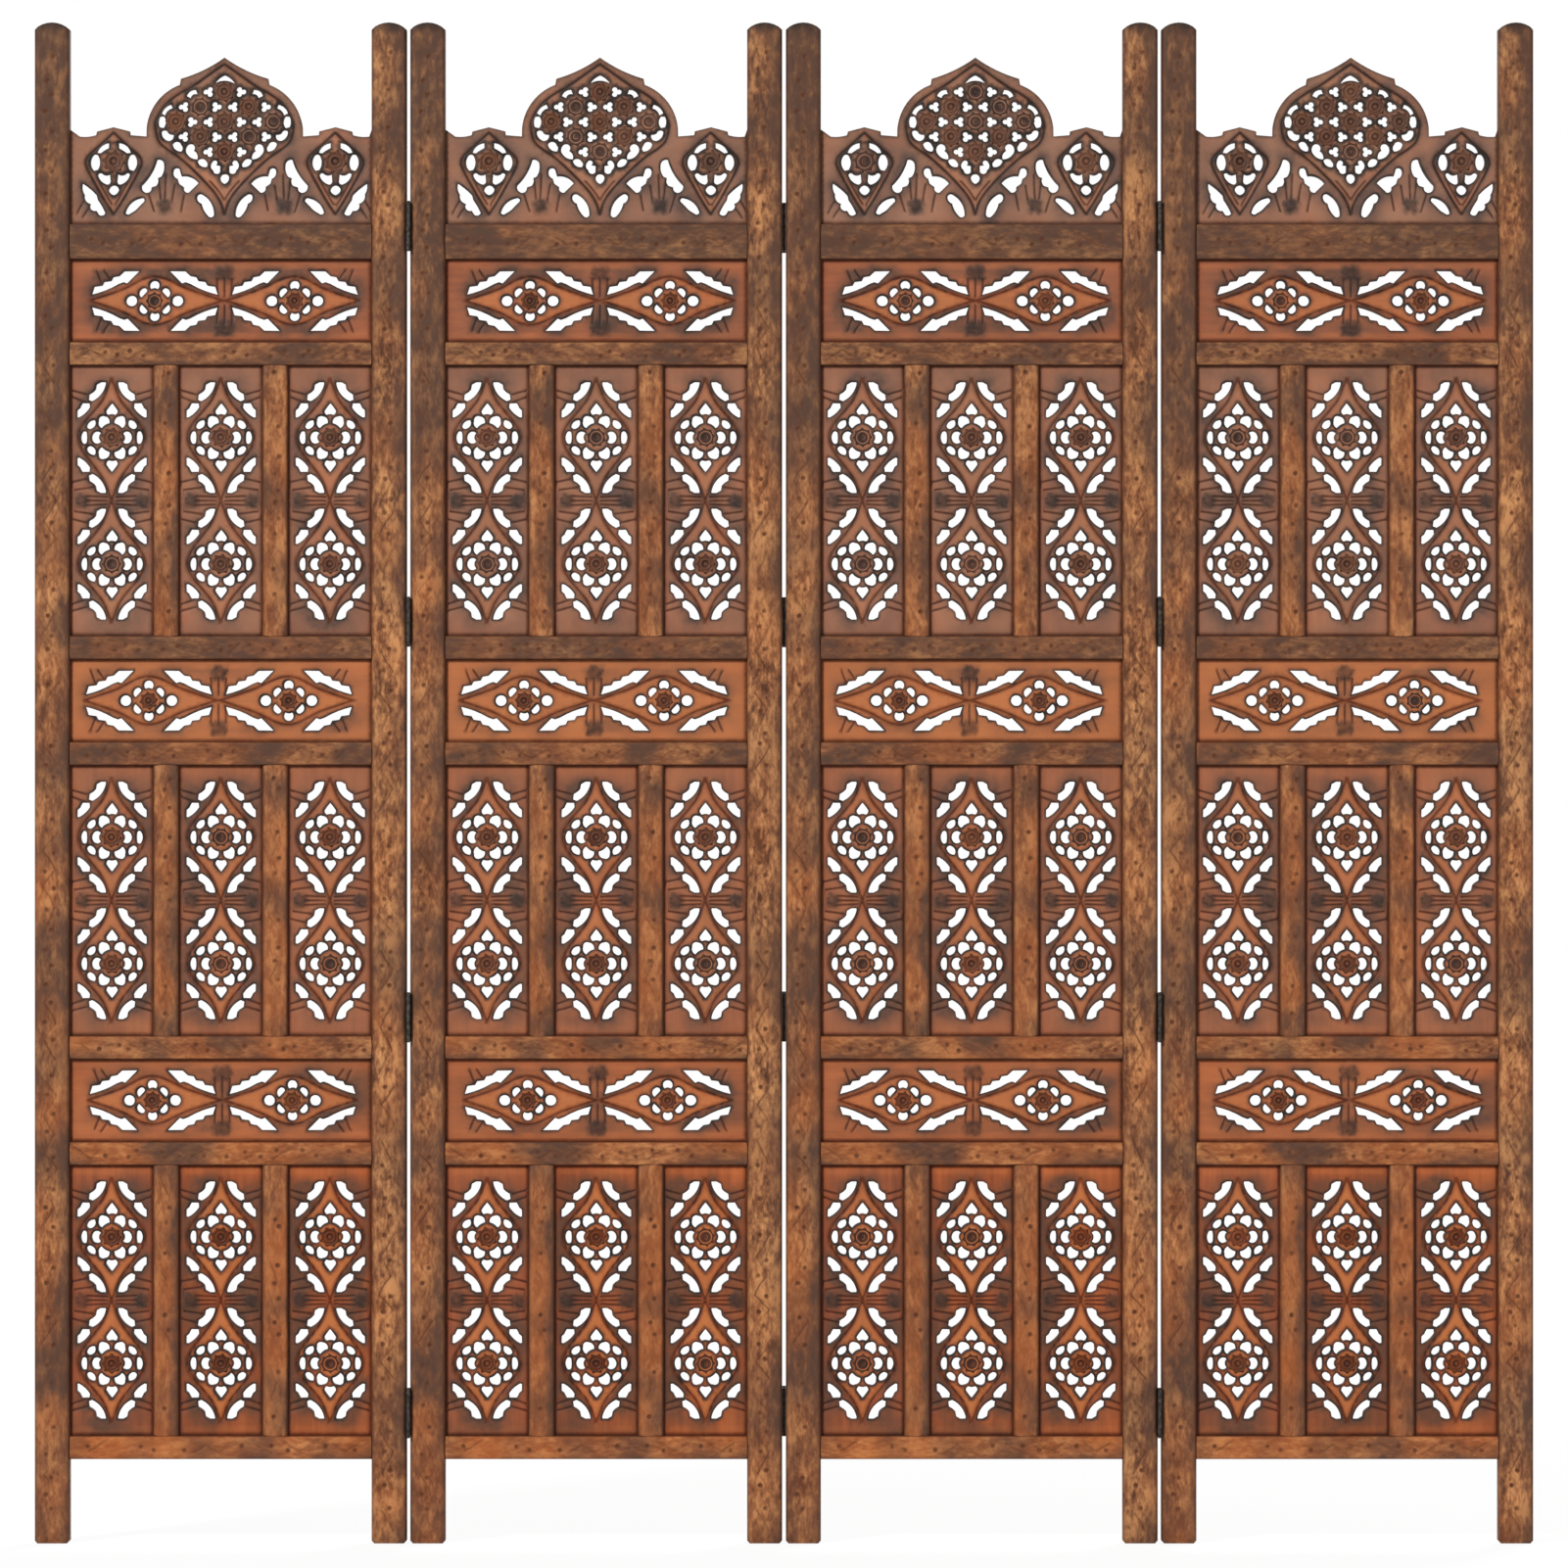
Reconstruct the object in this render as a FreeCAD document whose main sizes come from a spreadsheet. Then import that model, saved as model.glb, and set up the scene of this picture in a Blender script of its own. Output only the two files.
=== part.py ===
import FreeCAD, Part
import os
import Sketcher
from math import cos, radians, sin

doc = FreeCAD.newDocument("RoomDivider")
sheet = doc.addObject("Spreadsheet::Sheet", "Sizes")

# Driving dimensions in mm.
driving = {
    "panel_width": 403.5,
    "panel_gap": 4,
    "post_width": 38,
    "post_depth": 25,
    "post_rise": 218.5,
    "post_crown": 7.5,
    "post_round": 5,
    "foot_chamfer": 3,
    "leg_height": 91.5,
    "rail_height": 25,
    "rail_depth": 21,
    "crest_rail_height": 38,
    "frieze_height": 90,
    "fret_height": 294,
    "crest_height": 181,
    "crest_side_height": 103,
    "crest_shift": 4,
    "muntin_width": 28,
    "muntin_depth": 19,
    "board_depth": 10,
    "tongue_depth": 6,
    "fit_clearance": 0.15,
    "end_clearance": 0.3,
    "tenon_length": 18,
    "peg_diameter": 6,
    "peg_inset": 9,
    "peg_cover": 3,
    "hinge_height": 52,
    "hinge_spacing": 429,
    "lowest_hinge": 142,
    "barrel_diameter": 5,
    "barrel_clearance": 0.3,
    "knuckle_clearance": 0.2,
    "leaf_width": 20.5,
    "leaf_thickness": 1.3,
    "hinge_pin_diameter": 2.6,
    "hinge_pin_clearance": 0.05,
    "pin_cap_diameter": 4.2,
    "pin_cap_height": 1.2,
    "screw_diameter": 2.8,
    "screw_head_diameter": 5,
    "screw_length": 14,
    "screw_clearance": 0.05,
    "screw_rise": 17,
    "screw_near": 10,
    "screw_far": 16,
}
for row, (name, number) in enumerate(driving.items(), start=1):
    sheet.set(f"A{row}", name)
    sheet.set(f"B{row}", str(number))
    sheet.setAlias(f"B{row}", name)
doc.recompute()

panel_count = 4
hinges_per_gap = 4

# Distances that follow from the driving dimensions, as expressions.
pitch = "(Sizes.panel_width + Sizes.panel_gap)"
clear_width = "(Sizes.panel_width - 2 * Sizes.post_width)"
groove_width = "(Sizes.board_depth + 2 * Sizes.fit_clearance)"
module = "(2 * Sizes.rail_height + Sizes.fret_height + Sizes.frieze_height)"
crest_rail_base = f"(Sizes.leg_height + 3 * {module})"
crest_base = f"({crest_rail_base} + Sizes.crest_rail_height)"
post_height = f"({crest_base} + Sizes.post_rise)"
fret_width = f"(({clear_width} - 2 * Sizes.muntin_width) / 3)"
crest_side = "Sizes.crest_side_height"
hinge_reach = "(Sizes.post_depth / 2 + Sizes.barrel_diameter / 2 + Sizes.barrel_clearance)"


def amount(expression):
    return float(sheet.evalExpression(expression))


def tier_base(tier):
    return f"(Sizes.leg_height + {tier} * {module})"


# Underside and height of each rail, and whether it is grooved below.
rail_rows = []
for tier in range(3):
    rail_rows.append((tier_base(tier), "Sizes.rail_height", tier > 0))
    rail_rows.append((f"({tier_base(tier)} + Sizes.rail_height + Sizes.fret_height)",
                      "Sizes.rail_height", True))
rail_rows.append((crest_rail_base, "Sizes.crest_rail_height", True))


# Barrels stand at the front of the outer gaps and at the rear of the middle gap.
def gap_facing(gap):
    return 1 if gap == 2 else -1


def new_body(name):
    body = doc.addObject("PartDesign::Body", name)
    body.Label = name
    return body


def sketch_on(body, role, offset=None):
    sketch = body.newObject("Sketcher::SketchObject", f"{body.Name}_sketch")
    plane = next(item for item in body.Origin.OriginFeatures if item.Role == role)
    sketch.AttachmentSupport = [(plane, "")]
    sketch.MapMode = "FlatFace"
    if offset:
        sketch.setExpression("AttachmentOffset.Base.z", offset)
    return sketch


def add_bound(sketch, wanted):
    # Each wanted entry is a constraint with the expression that drives it, or None.
    places = sketch.addConstraint([constraint for constraint, expression in wanted])
    for place, (constraint, expression) in zip(places, wanted):
        if expression:
            sketch.setExpression(f"Constraints[{place}]", expression)


def fixed_point(geometry, position, across, up):
    wanted = []
    for kind, axis, expression in (("DistanceX", -2, across), ("DistanceY", -1, up)):
        size = amount(expression)
        if abs(size) < 1e-9:
            wanted.append((Sketcher.Constraint("PointOnObject", geometry, position, axis), None))
        elif size > 0:
            wanted.append((Sketcher.Constraint(kind, -1, 1, geometry, position, size), expression))
        else:
            wanted.append((Sketcher.Constraint(kind, geometry, position, -1, 1, -size),
                           f"-({expression})"))
    return wanted


def draw_polygon(sketch, corners):
    points = [FreeCAD.Vector(amount(across), amount(up), 0) for across, up in corners]
    first = sketch.GeometryCount
    count = len(points)
    sketch.addGeometry([Part.LineSegment(points[i], points[(i + 1) % count])
                        for i in range(count)])
    wanted = []
    for i, (across, up) in enumerate(corners):
        after = first + (i + 1) % count
        wanted.append((Sketcher.Constraint("Coincident", first + i, 2, after, 1), None))
        wanted += fixed_point(first + i, 1, across, up)
    add_bound(sketch, wanted)


def draw_rectangle(sketch, left, low, right, high):
    draw_polygon(sketch, [(left, low), (right, low), (right, high), (left, high)])


def draw_circles(sketch, centres, diameter):
    wanted = []
    for across, up in centres:
        middle = FreeCAD.Vector(amount(across), amount(up), 0)
        place = sketch.addGeometry(
            Part.Circle(middle, FreeCAD.Vector(0, 0, 1), amount(diameter) / 2))
        wanted += fixed_point(place, 3, across, up)
        wanted.append((Sketcher.Constraint("Diameter", place, amount(diameter)), diameter))
    add_bound(sketch, wanted)


def pad(body, sketch, length, symmetric=False, backward=False):
    feature = body.newObject("PartDesign::Pad", f"{body.Name}_pad")
    feature.Profile = sketch
    feature.SideType = "Symmetric" if symmetric else "One side"
    feature.Reversed = backward
    feature.setExpression("Length", length)
    return feature


def pocket(body, sketch, length=None, symmetric=False, backward=False):
    feature = body.newObject("PartDesign::Pocket", f"{body.Name}_pocket")
    feature.Profile = sketch
    feature.SideType = "Symmetric" if symmetric else "One side"
    feature.Reversed = backward
    if length:
        feature.setExpression("Length", length)
    else:
        feature.Type = "ThroughAll"
    return feature


# A rail is drawn with its underside at zero. Its tenons lie between its grooves.
def tenon_span(height, grooved_below, clearance):
    low = "Sizes.tongue_depth" if grooved_below else "0"
    return f"({low} - {clearance})", f"({height} - Sizes.tongue_depth + {clearance})"


def tenon_middle(height, grooved_below):
    low, high = tenon_span(height, grooved_below, "0")
    return f"({low} + {high}) / 2"


peg_across = f"({clear_width} / 2 + Sizes.peg_inset)"
peg_bore = "(Sizes.peg_diameter + 2 * Sizes.screw_clearance)"
pilot_bore = "(Sizes.screw_diameter + 2 * Sizes.screw_clearance)"
peg_heights = [f"{base} + {tenon_middle(height, grooved)}" for base, height, grooved in rail_rows]


# Screws of one hinge: distance in from the barrel's line and height from the hinge's middle.
screw_spots = [("Sizes.screw_near", "-Sizes.screw_rise"), ("Sizes.screw_far", "0"),
               ("Sizes.screw_near", "Sizes.screw_rise")]


def hinge_height_of(hinge):
    return f"(Sizes.lowest_hinge + {hinge} * Sizes.hinge_spacing)"


def make_post(name, side, facing):
    body = new_body(name)
    outer = f"{side} * Sizes.panel_width / 2"
    inner = f"{side} * {clear_width} / 2"
    plan = sketch_on(body, "XY_Plane")
    draw_rectangle(plan, inner, "-Sizes.post_depth / 2", outer, "Sizes.post_depth / 2")
    blank = pad(body, plan, post_height)
    doc.recompute()

    # Long edges rounded over, then the foot eased.
    upright = [f"Edge{i}" for i, edge in enumerate(blank.Shape.Edges, start=1)
               if edge.BoundBox.ZLength > 1]
    rounded = body.newObject("PartDesign::Fillet", f"{body.Name}_fillet")
    rounded.Base = (blank, upright)
    rounded.setExpression("Radius", "Sizes.post_round")
    doc.recompute()
    sole = [f"Edge{i}" for i, edge in enumerate(rounded.Shape.Edges, start=1)
            if edge.BoundBox.ZMax < 0.1]
    eased = body.newObject("PartDesign::Chamfer", f"{body.Name}_chamfer")
    eased.Base = (rounded, sole)
    eased.setExpression("Size", "Sizes.foot_chamfer")

    # Crown: everything above a shallow arc across the top is cut away.
    crown = sketch_on(body, "XZ_Plane")
    low_side, high_side = sorted((inner, outer), key=amount)
    spring = f"{post_height} - Sizes.post_crown"
    above = f"{post_height} + 2 * Sizes.post_crown"
    corners = [(low_side, spring), (low_side, above), (high_side, above), (high_side, spring)]
    points = [FreeCAD.Vector(amount(x), amount(z), 0) for x, z in corners]
    top = FreeCAD.Vector((points[0].x + points[3].x) / 2, amount(post_height), 0)
    crown.addGeometry(Part.Arc(points[3], top, points[0]))
    crown.addGeometry([Part.LineSegment(points[i], points[i + 1]) for i in range(3)])
    wanted = [(Sketcher.Constraint("Coincident", i, 2, (i + 1) % 4, 1), None) for i in (1, 2)]
    wanted += [(Sketcher.Constraint("Coincident", 1, 1, 0, 2), None),
               (Sketcher.Constraint("Coincident", 3, 2, 0, 1), None)]
    for line in range(3):
        wanted += fixed_point(line + 1, 1, *corners[line])
    wanted += fixed_point(3, 2, *corners[3])
    curve = "((Sizes.post_width / 2)^2 + Sizes.post_crown^2) / (2 * Sizes.post_crown)"
    wanted.append((Sketcher.Constraint("Radius", 0, amount(curve)), curve))
    add_bound(crown, wanted)
    pocket(body, crown, symmetric=True)

    # Groove for the boards, with deeper mortises for the rail tenons.
    away = side > 0
    groove = sketch_on(body, "YZ_Plane", inner)
    draw_rectangle(groove, f"-{groove_width} / 2", f"{tier_base(0)} + Sizes.tongue_depth",
                   f"{groove_width} / 2", f"{crest_base} + {crest_side} + Sizes.end_clearance")
    pocket(body, groove, "Sizes.tongue_depth", backward=away)
    mortises = sketch_on(body, "YZ_Plane", inner)
    for base, height, grooved in rail_rows:
        low, high = tenon_span(height, grooved, "Sizes.fit_clearance")
        draw_rectangle(mortises, f"-{groove_width} / 2", f"{base} + {low}",
                       f"{groove_width} / 2", f"{base} + {high}")
    pocket(body, mortises, "Sizes.tenon_length + Sizes.end_clearance", backward=away)

    peg_holes = sketch_on(body, "XZ_Plane", "-Sizes.post_depth / 2")
    draw_circles(peg_holes, [(f"{side} * {peg_across}", z) for z in peg_heights], peg_bore)
    pocket(body, peg_holes, "Sizes.post_depth - Sizes.peg_cover", backward=True)

    # Pilot holes for hinge screws, where a hinge is fitted.
    if facing:
        pilots = sketch_on(body, "YZ_Plane", outer)
        draw_circles(pilots, [(f"{facing} * ({hinge_reach} - {inset})",
                               f"{hinge_height_of(hinge)} + {rise}")
                              for hinge in range(hinges_per_gap) for inset, rise in screw_spots],
                     pilot_bore)
        pocket(body, pilots, "Sizes.screw_length - Sizes.leaf_thickness + Sizes.end_clearance",
               backward=side < 0)
    return body


def make_rail(name, height, grooved_below):
    body = new_body(name)
    section = sketch_on(body, "YZ_Plane")
    cheek, lip = "Sizes.rail_depth / 2", f"{groove_width} / 2"
    upper, lower = f"({height} - Sizes.tongue_depth)", "Sizes.tongue_depth"
    corners = [(cheek, "0"), (cheek, height), (lip, height), (lip, upper), (f"-{lip}", upper),
               (f"-{lip}", height), (f"-{cheek}", height), (f"-{cheek}", "0")]
    if grooved_below:
        corners += [(f"-{lip}", "0"), (f"-{lip}", lower), (lip, lower), (lip, "0")]
    draw_polygon(section, corners)
    pad(body, section, clear_width, symmetric=True)
    tenons = sketch_on(body, "YZ_Plane")
    low, high = tenon_span(height, grooved_below, "0")
    draw_rectangle(tenons, "-Sizes.board_depth / 2", low, "Sizes.board_depth / 2", high)
    pad(body, tenons, f"{clear_width} + 2 * Sizes.tenon_length", symmetric=True)
    holes = sketch_on(body, "XZ_Plane")
    draw_circles(holes, [(f"{side} * {peg_across}", tenon_middle(height, grooved_below))
                         for side in (-1, 1)], peg_bore)
    pocket(body, holes, symmetric=True)
    return body


def make_muntin():
    body = new_body("muntin")
    bar, stub, grooves = [sketch_on(body, "XZ_Plane") for i in range(3)]
    half = "Sizes.muntin_width / 2"
    web = f"({half} - Sizes.tongue_depth)"
    reach = "(Sizes.tongue_depth - Sizes.end_clearance)"
    draw_rectangle(bar, f"-{half}", "0", half, "Sizes.fret_height")
    pad(body, bar, "Sizes.muntin_depth", symmetric=True)
    draw_rectangle(stub, f"-{web}", f"-{reach}", web, f"Sizes.fret_height + {reach}")
    pad(body, stub, "Sizes.board_depth", symmetric=True)
    for side in (-1, 1):
        draw_rectangle(grooves, f"{side} * {half}", "0", f"{side} * {web}", "Sizes.fret_height")
    pocket(body, grooves, groove_width, symmetric=True)
    return body


def make_peg():
    body = new_body("peg")
    end = sketch_on(body, "XZ_Plane", "-Sizes.post_depth / 2")
    draw_circles(end, [("0", "0")], "Sizes.peg_diameter")
    pad(body, end, "Sizes.post_depth - Sizes.peg_cover - Sizes.end_clearance")
    return body


# Hinge pieces are drawn about the middle of one hinge that faces the front. One leaf
# carries knuckles 1, 3 and 5 of the five and the other 2 and 4.
axis_line = f"-{hinge_reach}"


def knuckle_spans(knuckles):
    spans = []
    for knuckle in knuckles:
        low = f"({knuckle - 2.5} * Sizes.hinge_height / 5)"
        high = f"({knuckle - 1.5} * Sizes.hinge_height / 5)"
        if knuckle > 0:
            low += " + Sizes.knuckle_clearance / 2"
        if knuckle < 4:
            high += " - Sizes.knuckle_clearance / 2"
        spans.append((low, high))
    return spans


def turned(body, sketch, outlines):
    line = [FreeCAD.Vector(amount(axis_line), z, 0) for z in (-10, 10)]
    sketch.addGeometry(Part.LineSegment(*line), True)
    add_bound(sketch, fixed_point(0, 1, axis_line, "-10") + fixed_point(0, 2, axis_line, "10"))
    for corners in outlines:
        draw_polygon(sketch, corners)
    feature = body.newObject("PartDesign::Revolution", f"{body.Name}_revolution")
    feature.Profile = sketch
    feature.ReferenceAxis = (sketch, ["Axis0"])
    feature.Angle = 360


def make_leaf(name, side, knuckles):
    body = new_body(name)
    clear = "-Sizes.post_depth / 2"
    far = f"-({hinge_reach} - Sizes.leaf_width)"
    bottom, top = "-Sizes.hinge_height / 2", "Sizes.hinge_height / 2"
    spans = knuckle_spans(knuckles)
    corners = [(far, top), (far, bottom)]
    if 0 not in knuckles:
        corners.append((clear, bottom))
    for knuckle, (low, high) in zip(knuckles, spans):
        if knuckle > 0:
            corners.append((clear, low))
        corners += [(axis_line, low), (axis_line, high)]
        if knuckle < 4:
            corners.append((clear, high))
    if 4 not in knuckles:
        corners.append((clear, top))
    plate = sketch_on(body, "YZ_Plane", f"{side} * Sizes.panel_gap / 2")
    draw_polygon(plate, corners)
    pad(body, plate, "Sizes.leaf_thickness", backward=side > 0)

    # Knuckles turned about the pin line, then bored through.
    rim = f"-({hinge_reach} - Sizes.barrel_diameter / 2)"
    turned(body, sketch_on(body, "YZ_Plane"),
           [[(axis_line, low), (rim, low), (rim, high), (axis_line, high)] for low, high in spans])
    bore = sketch_on(body, "XY_Plane")
    draw_circles(bore, [("0", axis_line)],
                 "Sizes.hinge_pin_diameter + 2 * Sizes.hinge_pin_clearance")
    pocket(body, bore, symmetric=True)

    sinks = sketch_on(body, "YZ_Plane",
                      f"{side} * (Sizes.panel_gap / 2 - Sizes.leaf_thickness)")
    draw_circles(sinks, [(f"{inset} - {hinge_reach}", rise) for inset, rise in screw_spots],
                 pilot_bore)
    doc.recompute()
    drilled = body.newObject("PartDesign::Hole", f"{body.Name}_hole")
    drilled.Profile = sinks
    drilled.DepthType = "ThroughAll"
    drilled.Reversed = side > 0
    drilled.HoleCutType = "Countersink"
    drilled.HoleCutCustomValues = True
    drilled.setExpression("Diameter", pilot_bore)
    drilled.setExpression("HoleCutDiameter",
                          "Sizes.screw_head_diameter + 2 * Sizes.screw_clearance")
    drilled.HoleCutCountersinkAngle = 90
    return body


# A screw lies along x with the flat of its head at zero.
def make_screw():
    body = new_body("hinge_screw")
    shank = sketch_on(body, "YZ_Plane")
    draw_circles(shank, [("0", "0")], "Sizes.screw_diameter")
    pad(body, shank, "Sizes.screw_length")
    head = sketch_on(body, "YZ_Plane")
    draw_circles(head, [("0", "0")], "Sizes.screw_head_diameter")
    cone = pad(body, head, "(Sizes.screw_head_diameter - Sizes.screw_diameter) / 2")
    cone.TaperAngle = -45
    return body


def make_pin():
    body = new_body("hinge_pin")
    shaft = f"-({hinge_reach} - Sizes.hinge_pin_diameter / 2)"
    cap = f"-({hinge_reach} - Sizes.pin_cap_diameter / 2)"
    high = "(Sizes.hinge_height / 2 + Sizes.hinge_pin_clearance)"
    end = f"({high} + Sizes.pin_cap_height)"
    turned(body, sketch_on(body, "YZ_Plane"),
           [[(axis_line, f"-{end}"), (cap, f"-{end}"), (cap, f"-{high}"), (shaft, f"-{high}"),
             (shaft, high), (cap, high), (cap, end), (axis_line, end)]])
    return body


# Cut-outs are drawn in mm about the middle of a medallion. Each entry is the end of one
# edge: (x, z) after a straight edge, or (x, z, via_x, via_z) after an arc.
fret_centre_cuts = [
    [(6.2, 29.2, 4.2, 32.2), (3.6, 24.6, 5.6, 26.2), (-3.6, 24.6, 0, 25.4),
     (-6.2, 29.2, -5.6, 26.2), (0, 37.4, -4.2, 32.2)],
]
fret_side_cuts = [
    [(20.6, 3.8, 16.4, 6.6), (20.6, -3.8, 21.7, 0), (11.9, -4.6, 16.4, -6.6),
     (11.9, 4.6, 13.9, 0)],
    [(31.9, 5.6, 29.6, 6.9), (31.9, -5.6, 33.5, 0), (27.3, -5.4, 29.6, -6.9),
     (27.3, 5.4, 26.8, 0)],
]
fret_quarter_cuts = [
    [(8.0, 23.0, 3.6, 20.6), (14.4, 18.2, 12.9, 22.5), (11.0, 10.2, 14.2, 13.4),
     (2.6, 15.6, 7.4, 13.6)],
    [(27.2, 12.2, 23.9, 17.4), (21.2, 10.2, 24.7, 9.4), (18.6, 18.9, 18.0, 13.6)],
    [(12.0, 60.2), (16.7, 57.6), (17.7, 52.2), (20.2, 49.6), (24.6, 46.8), (25.3, 41.0),
     (21.4, 39.4), (6.4, 58.8, 10.9, 48.0), (6.8, 60.2)],
    [(32.0, 37.4), (33.9, 34.0), (34.6, 32.2), (37.6, 29.6), (37.8, 22.2), (35.8, 21.7),
     (23.7, 32.7, 28.6, 26.7), (24.2, 37.2)],
]
frieze_side_cuts = [
    [(24.8, 6.2, 20.4, 4.4), (31.4, 0, 29.8, 4.0), (24.8, -6.2, 29.8, -4.0), (18.6, 0, 20.4, -4.4)],
]
frieze_centre_cuts = [
    [(0, 22.3, -5.6, 17.8), (3.4, 12.2, 5.6, 17.8), (-3.4, 12.2, 0, 13.4)],
]
frieze_quarter_cuts = [
    [(14.2, 13.4, 10.2, 14.3), (14.4, 3.2, 17.3, 8.2), (7.6, 10.4, 10.9, 6.6)],
    [(66.0, 16.0), (57.4, 17.2), (55.2, 21.2), (47.6, 22.2), (45.4, 26.4), (38.8, 27.6),
     (33.2, 32.8), (15.8, 32.8), (29.6, 18.4), (33.6, 19.8), (38.6, 18.0),
     (69.0, 6.2, 54.0, 10.6)],
]
crest_side_cuts = [
    [(18.3, 9.4, 13.4, 17.0), (14.4, 8.8), (5.4, 14.4, 9.8, 12.0), (5.2, 20.2)],
    [(22.4, 6.8, 19.8, 7.8), (21.4, -10.2, 25.2, -1.6), (17.4, -9.2), (16.6, 5.2, 15.0, -1.8)],
    [(13.4, -12.8, 8.6, -15.0), (17.4, -14.6, 15.8, -12.6), (7.0, -25.2, 13.8, -21.2),
     (3.6, -20.6, 4.2, -23.6), (4.2, -13.6)],
]
crest_drop_cut = [(5.6, -31.2, 3.8, -27.6), (0, -36.6, 3.8, -34.4), (-5.6, -31.2, -3.8, -34.4),
                  (0, -25.8, -3.8, -27.6)]

# Drawn about the foot of the crest board's middle line, right-hand half.
crest_leaf_cuts = [
    [(138.9, 31.6, 148.2, 40.2), (137.6, 26.4), (129.6, 12.2, 133.2, 19.6),
     (136.4, 10.4, 132.2, 9.8), (139.2, 14.8), (145.8, 22.4, 145.2, 16.6),
     (152.2, 32.6, 151.4, 26.8), (154.4, 44.6, 154.6, 38.6)],
    [(91.0, 28.6, 101.2, 23.8), (88.4, 23.8, 87.2, 27.2), (93.2, 19.0), (102.2, 12.0, 98.0, 14.4),
     (107.8, 12.6, 105.6, 10.8)],
    [(65.8, 64.6, 68.4, 69.6), (69.0, 51.8, 66.2, 57.6), (72.6, 50.2), (74.4, 41.8, 72.2, 45.8),
     (79.4, 40.2), (84.6, 34.2, 81.0, 35.6), (90.0, 42.4, 88.6, 36.4), (73.4, 70.4, 80.0, 54.8)],
    [(48.4, 57.8, 52.4, 61.4), (46.8, 52.4), (28.4, 44.6, 36.8, 51.2), (39.0, 34.4),
     (44.4, 40.6, 43.4, 36.0), (49.6, 44.2), (51.2, 49.6), (55.8, 57.6, 54.8, 52.4)],
    [(24.0, 32.2, 27.6, 33.0), (11.6, 11.6, 15.2, 23.8), (17.6, 8.8, 14.0, 7.8),
     (25.2, 22.6, 22.8, 15.8), (30.2, 29.8, 29.0, 25.4)],
]
crest_top_cut = [(11.0, 152.8, 6.6, 158.2), (-11.0, 152.8, 0, 156.0), (0, 162.2, -6.6, 158.2)]
crest_low_cut = [(4.8, 50.0, 3.6, 53.4), (0, 44.0, 3.2, 46.2), (-4.8, 50.0, -3.2, 46.2),
                 (0, 54.8, -3.6, 53.4)]
crest_rim_cuts = [
    [(31.4, 146.4), (41.4, 139.4, 37.8, 144.8), (36.8, 137.2), (29.6, 141.2, 34.0, 141.0)],
    [(58.2, 130.4), (68.6, 120.6, 64.8, 126.8), (64.6, 118.4), (56.6, 126.0, 61.4, 123.6)],
    [(70.2, 117.4), (70.6, 105.6, 71.8, 111.4), (66.4, 104.6), (66.2, 117.6, 63.8, 111.4)],
    [(68.6, 101.0, 66.0, 102.4), (61.2, 90.6, 66.6, 94.2), (55.6, 97.8, 56.0, 93.4),
     (61.6, 99.4, 59.0, 98.0)],
    [(56.6, 87.4, 53.8, 89.8), (47.0, 79.2, 53.0, 81.0), (47.2, 86.2, 45.6, 82.6)],
    [(39.8, 86.6, 38.2, 87.4), (40.2, 75.8, 42.4, 81.0), (29.6, 70.8, 35.0, 71.6),
     (33.4, 80.0, 30.0, 76.4)],
    [(29.4, 69.4, 26.4, 71.4), (19.6, 62.4, 25.6, 63.4), (20.2, 68.6, 18.6, 65.4)],
    [(13.6, 68.2, 11.6, 69.8), (12.6, 58.8, 15.4, 63.6), (5.0, 57.0, 8.8, 54.8), (4.8, 63.8),
     (9.2, 64.6)],
]
crest_outline = [
    (47.4, 158.0, 23.2, 167.2), (48.6, 151.4), (84.6, 105.0, 74.9, 131.0), (84.8, 95.4),
    (102.4, 96.8), (102.8, 100.9), (120.6, 105.4), (138.4, 100.7), (139.4, 96.8),
    (157.0, 95.2, 148.2, 95.0),
]
drawn_fret = (90.5, 294)
drawn_frieze = (327.5, 90)
drawn_crest = (327.5, 181)


def flipped(outline, across, up):
    return [tuple(number * (across if place % 2 == 0 else up)
                  for place, number in enumerate(entry)) for entry in outline]


def moved(outline, across, up):
    return [tuple(number + (across if place % 2 == 0 else up)
                  for place, number in enumerate(entry)) for entry in outline]


def wire_of(outline, stretch_x, stretch_z, y):
    def point(x, z):
        return FreeCAD.Vector(x * stretch_x, y, z * stretch_z)
    ends = [point(*entry[:2]) for entry in outline]
    edges = []
    for place, entry in enumerate(outline):
        if len(entry) == 2:
            edges.append(Part.makeLine(ends[place - 1], ends[place]))
        else:
            edges.append(Part.Arc(ends[place - 1], point(*entry[2:]), ends[place]).toShape())
    return Part.Wire(edges)


def medallion_cuts(centre, side, quarter):
    cuts = []
    for outline in centre:
        cuts += [outline, flipped(outline, 1, -1)]
    for outline in side:
        cuts += [outline, flipped(outline, -1, 1)]
    for outline in quarter:
        cuts += [flipped(outline, across, up) for across in (1, -1) for up in (1, -1)]
    return cuts


def pierced_board(border, cuts):
    face = Part.makeFace([border] + cuts, "Part::FaceMakerBullseye")
    return face.extrude(FreeCAD.Vector(0, amount("Sizes.board_depth"), 0))


def plain_border(width, height):
    y = -amount("Sizes.board_depth") / 2
    return Part.makePolygon([FreeCAD.Vector(x, y, z) for x, z in (
        (-width / 2, -height / 2), (width / 2, -height / 2), (width / 2, height / 2),
        (-width / 2, height / 2), (-width / 2, -height / 2))])


# Boards reach into the grooves all round, short of the groove bottoms.
tongue = amount("Sizes.tongue_depth - Sizes.end_clearance")
front_face = -amount("Sizes.board_depth") / 2


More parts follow.
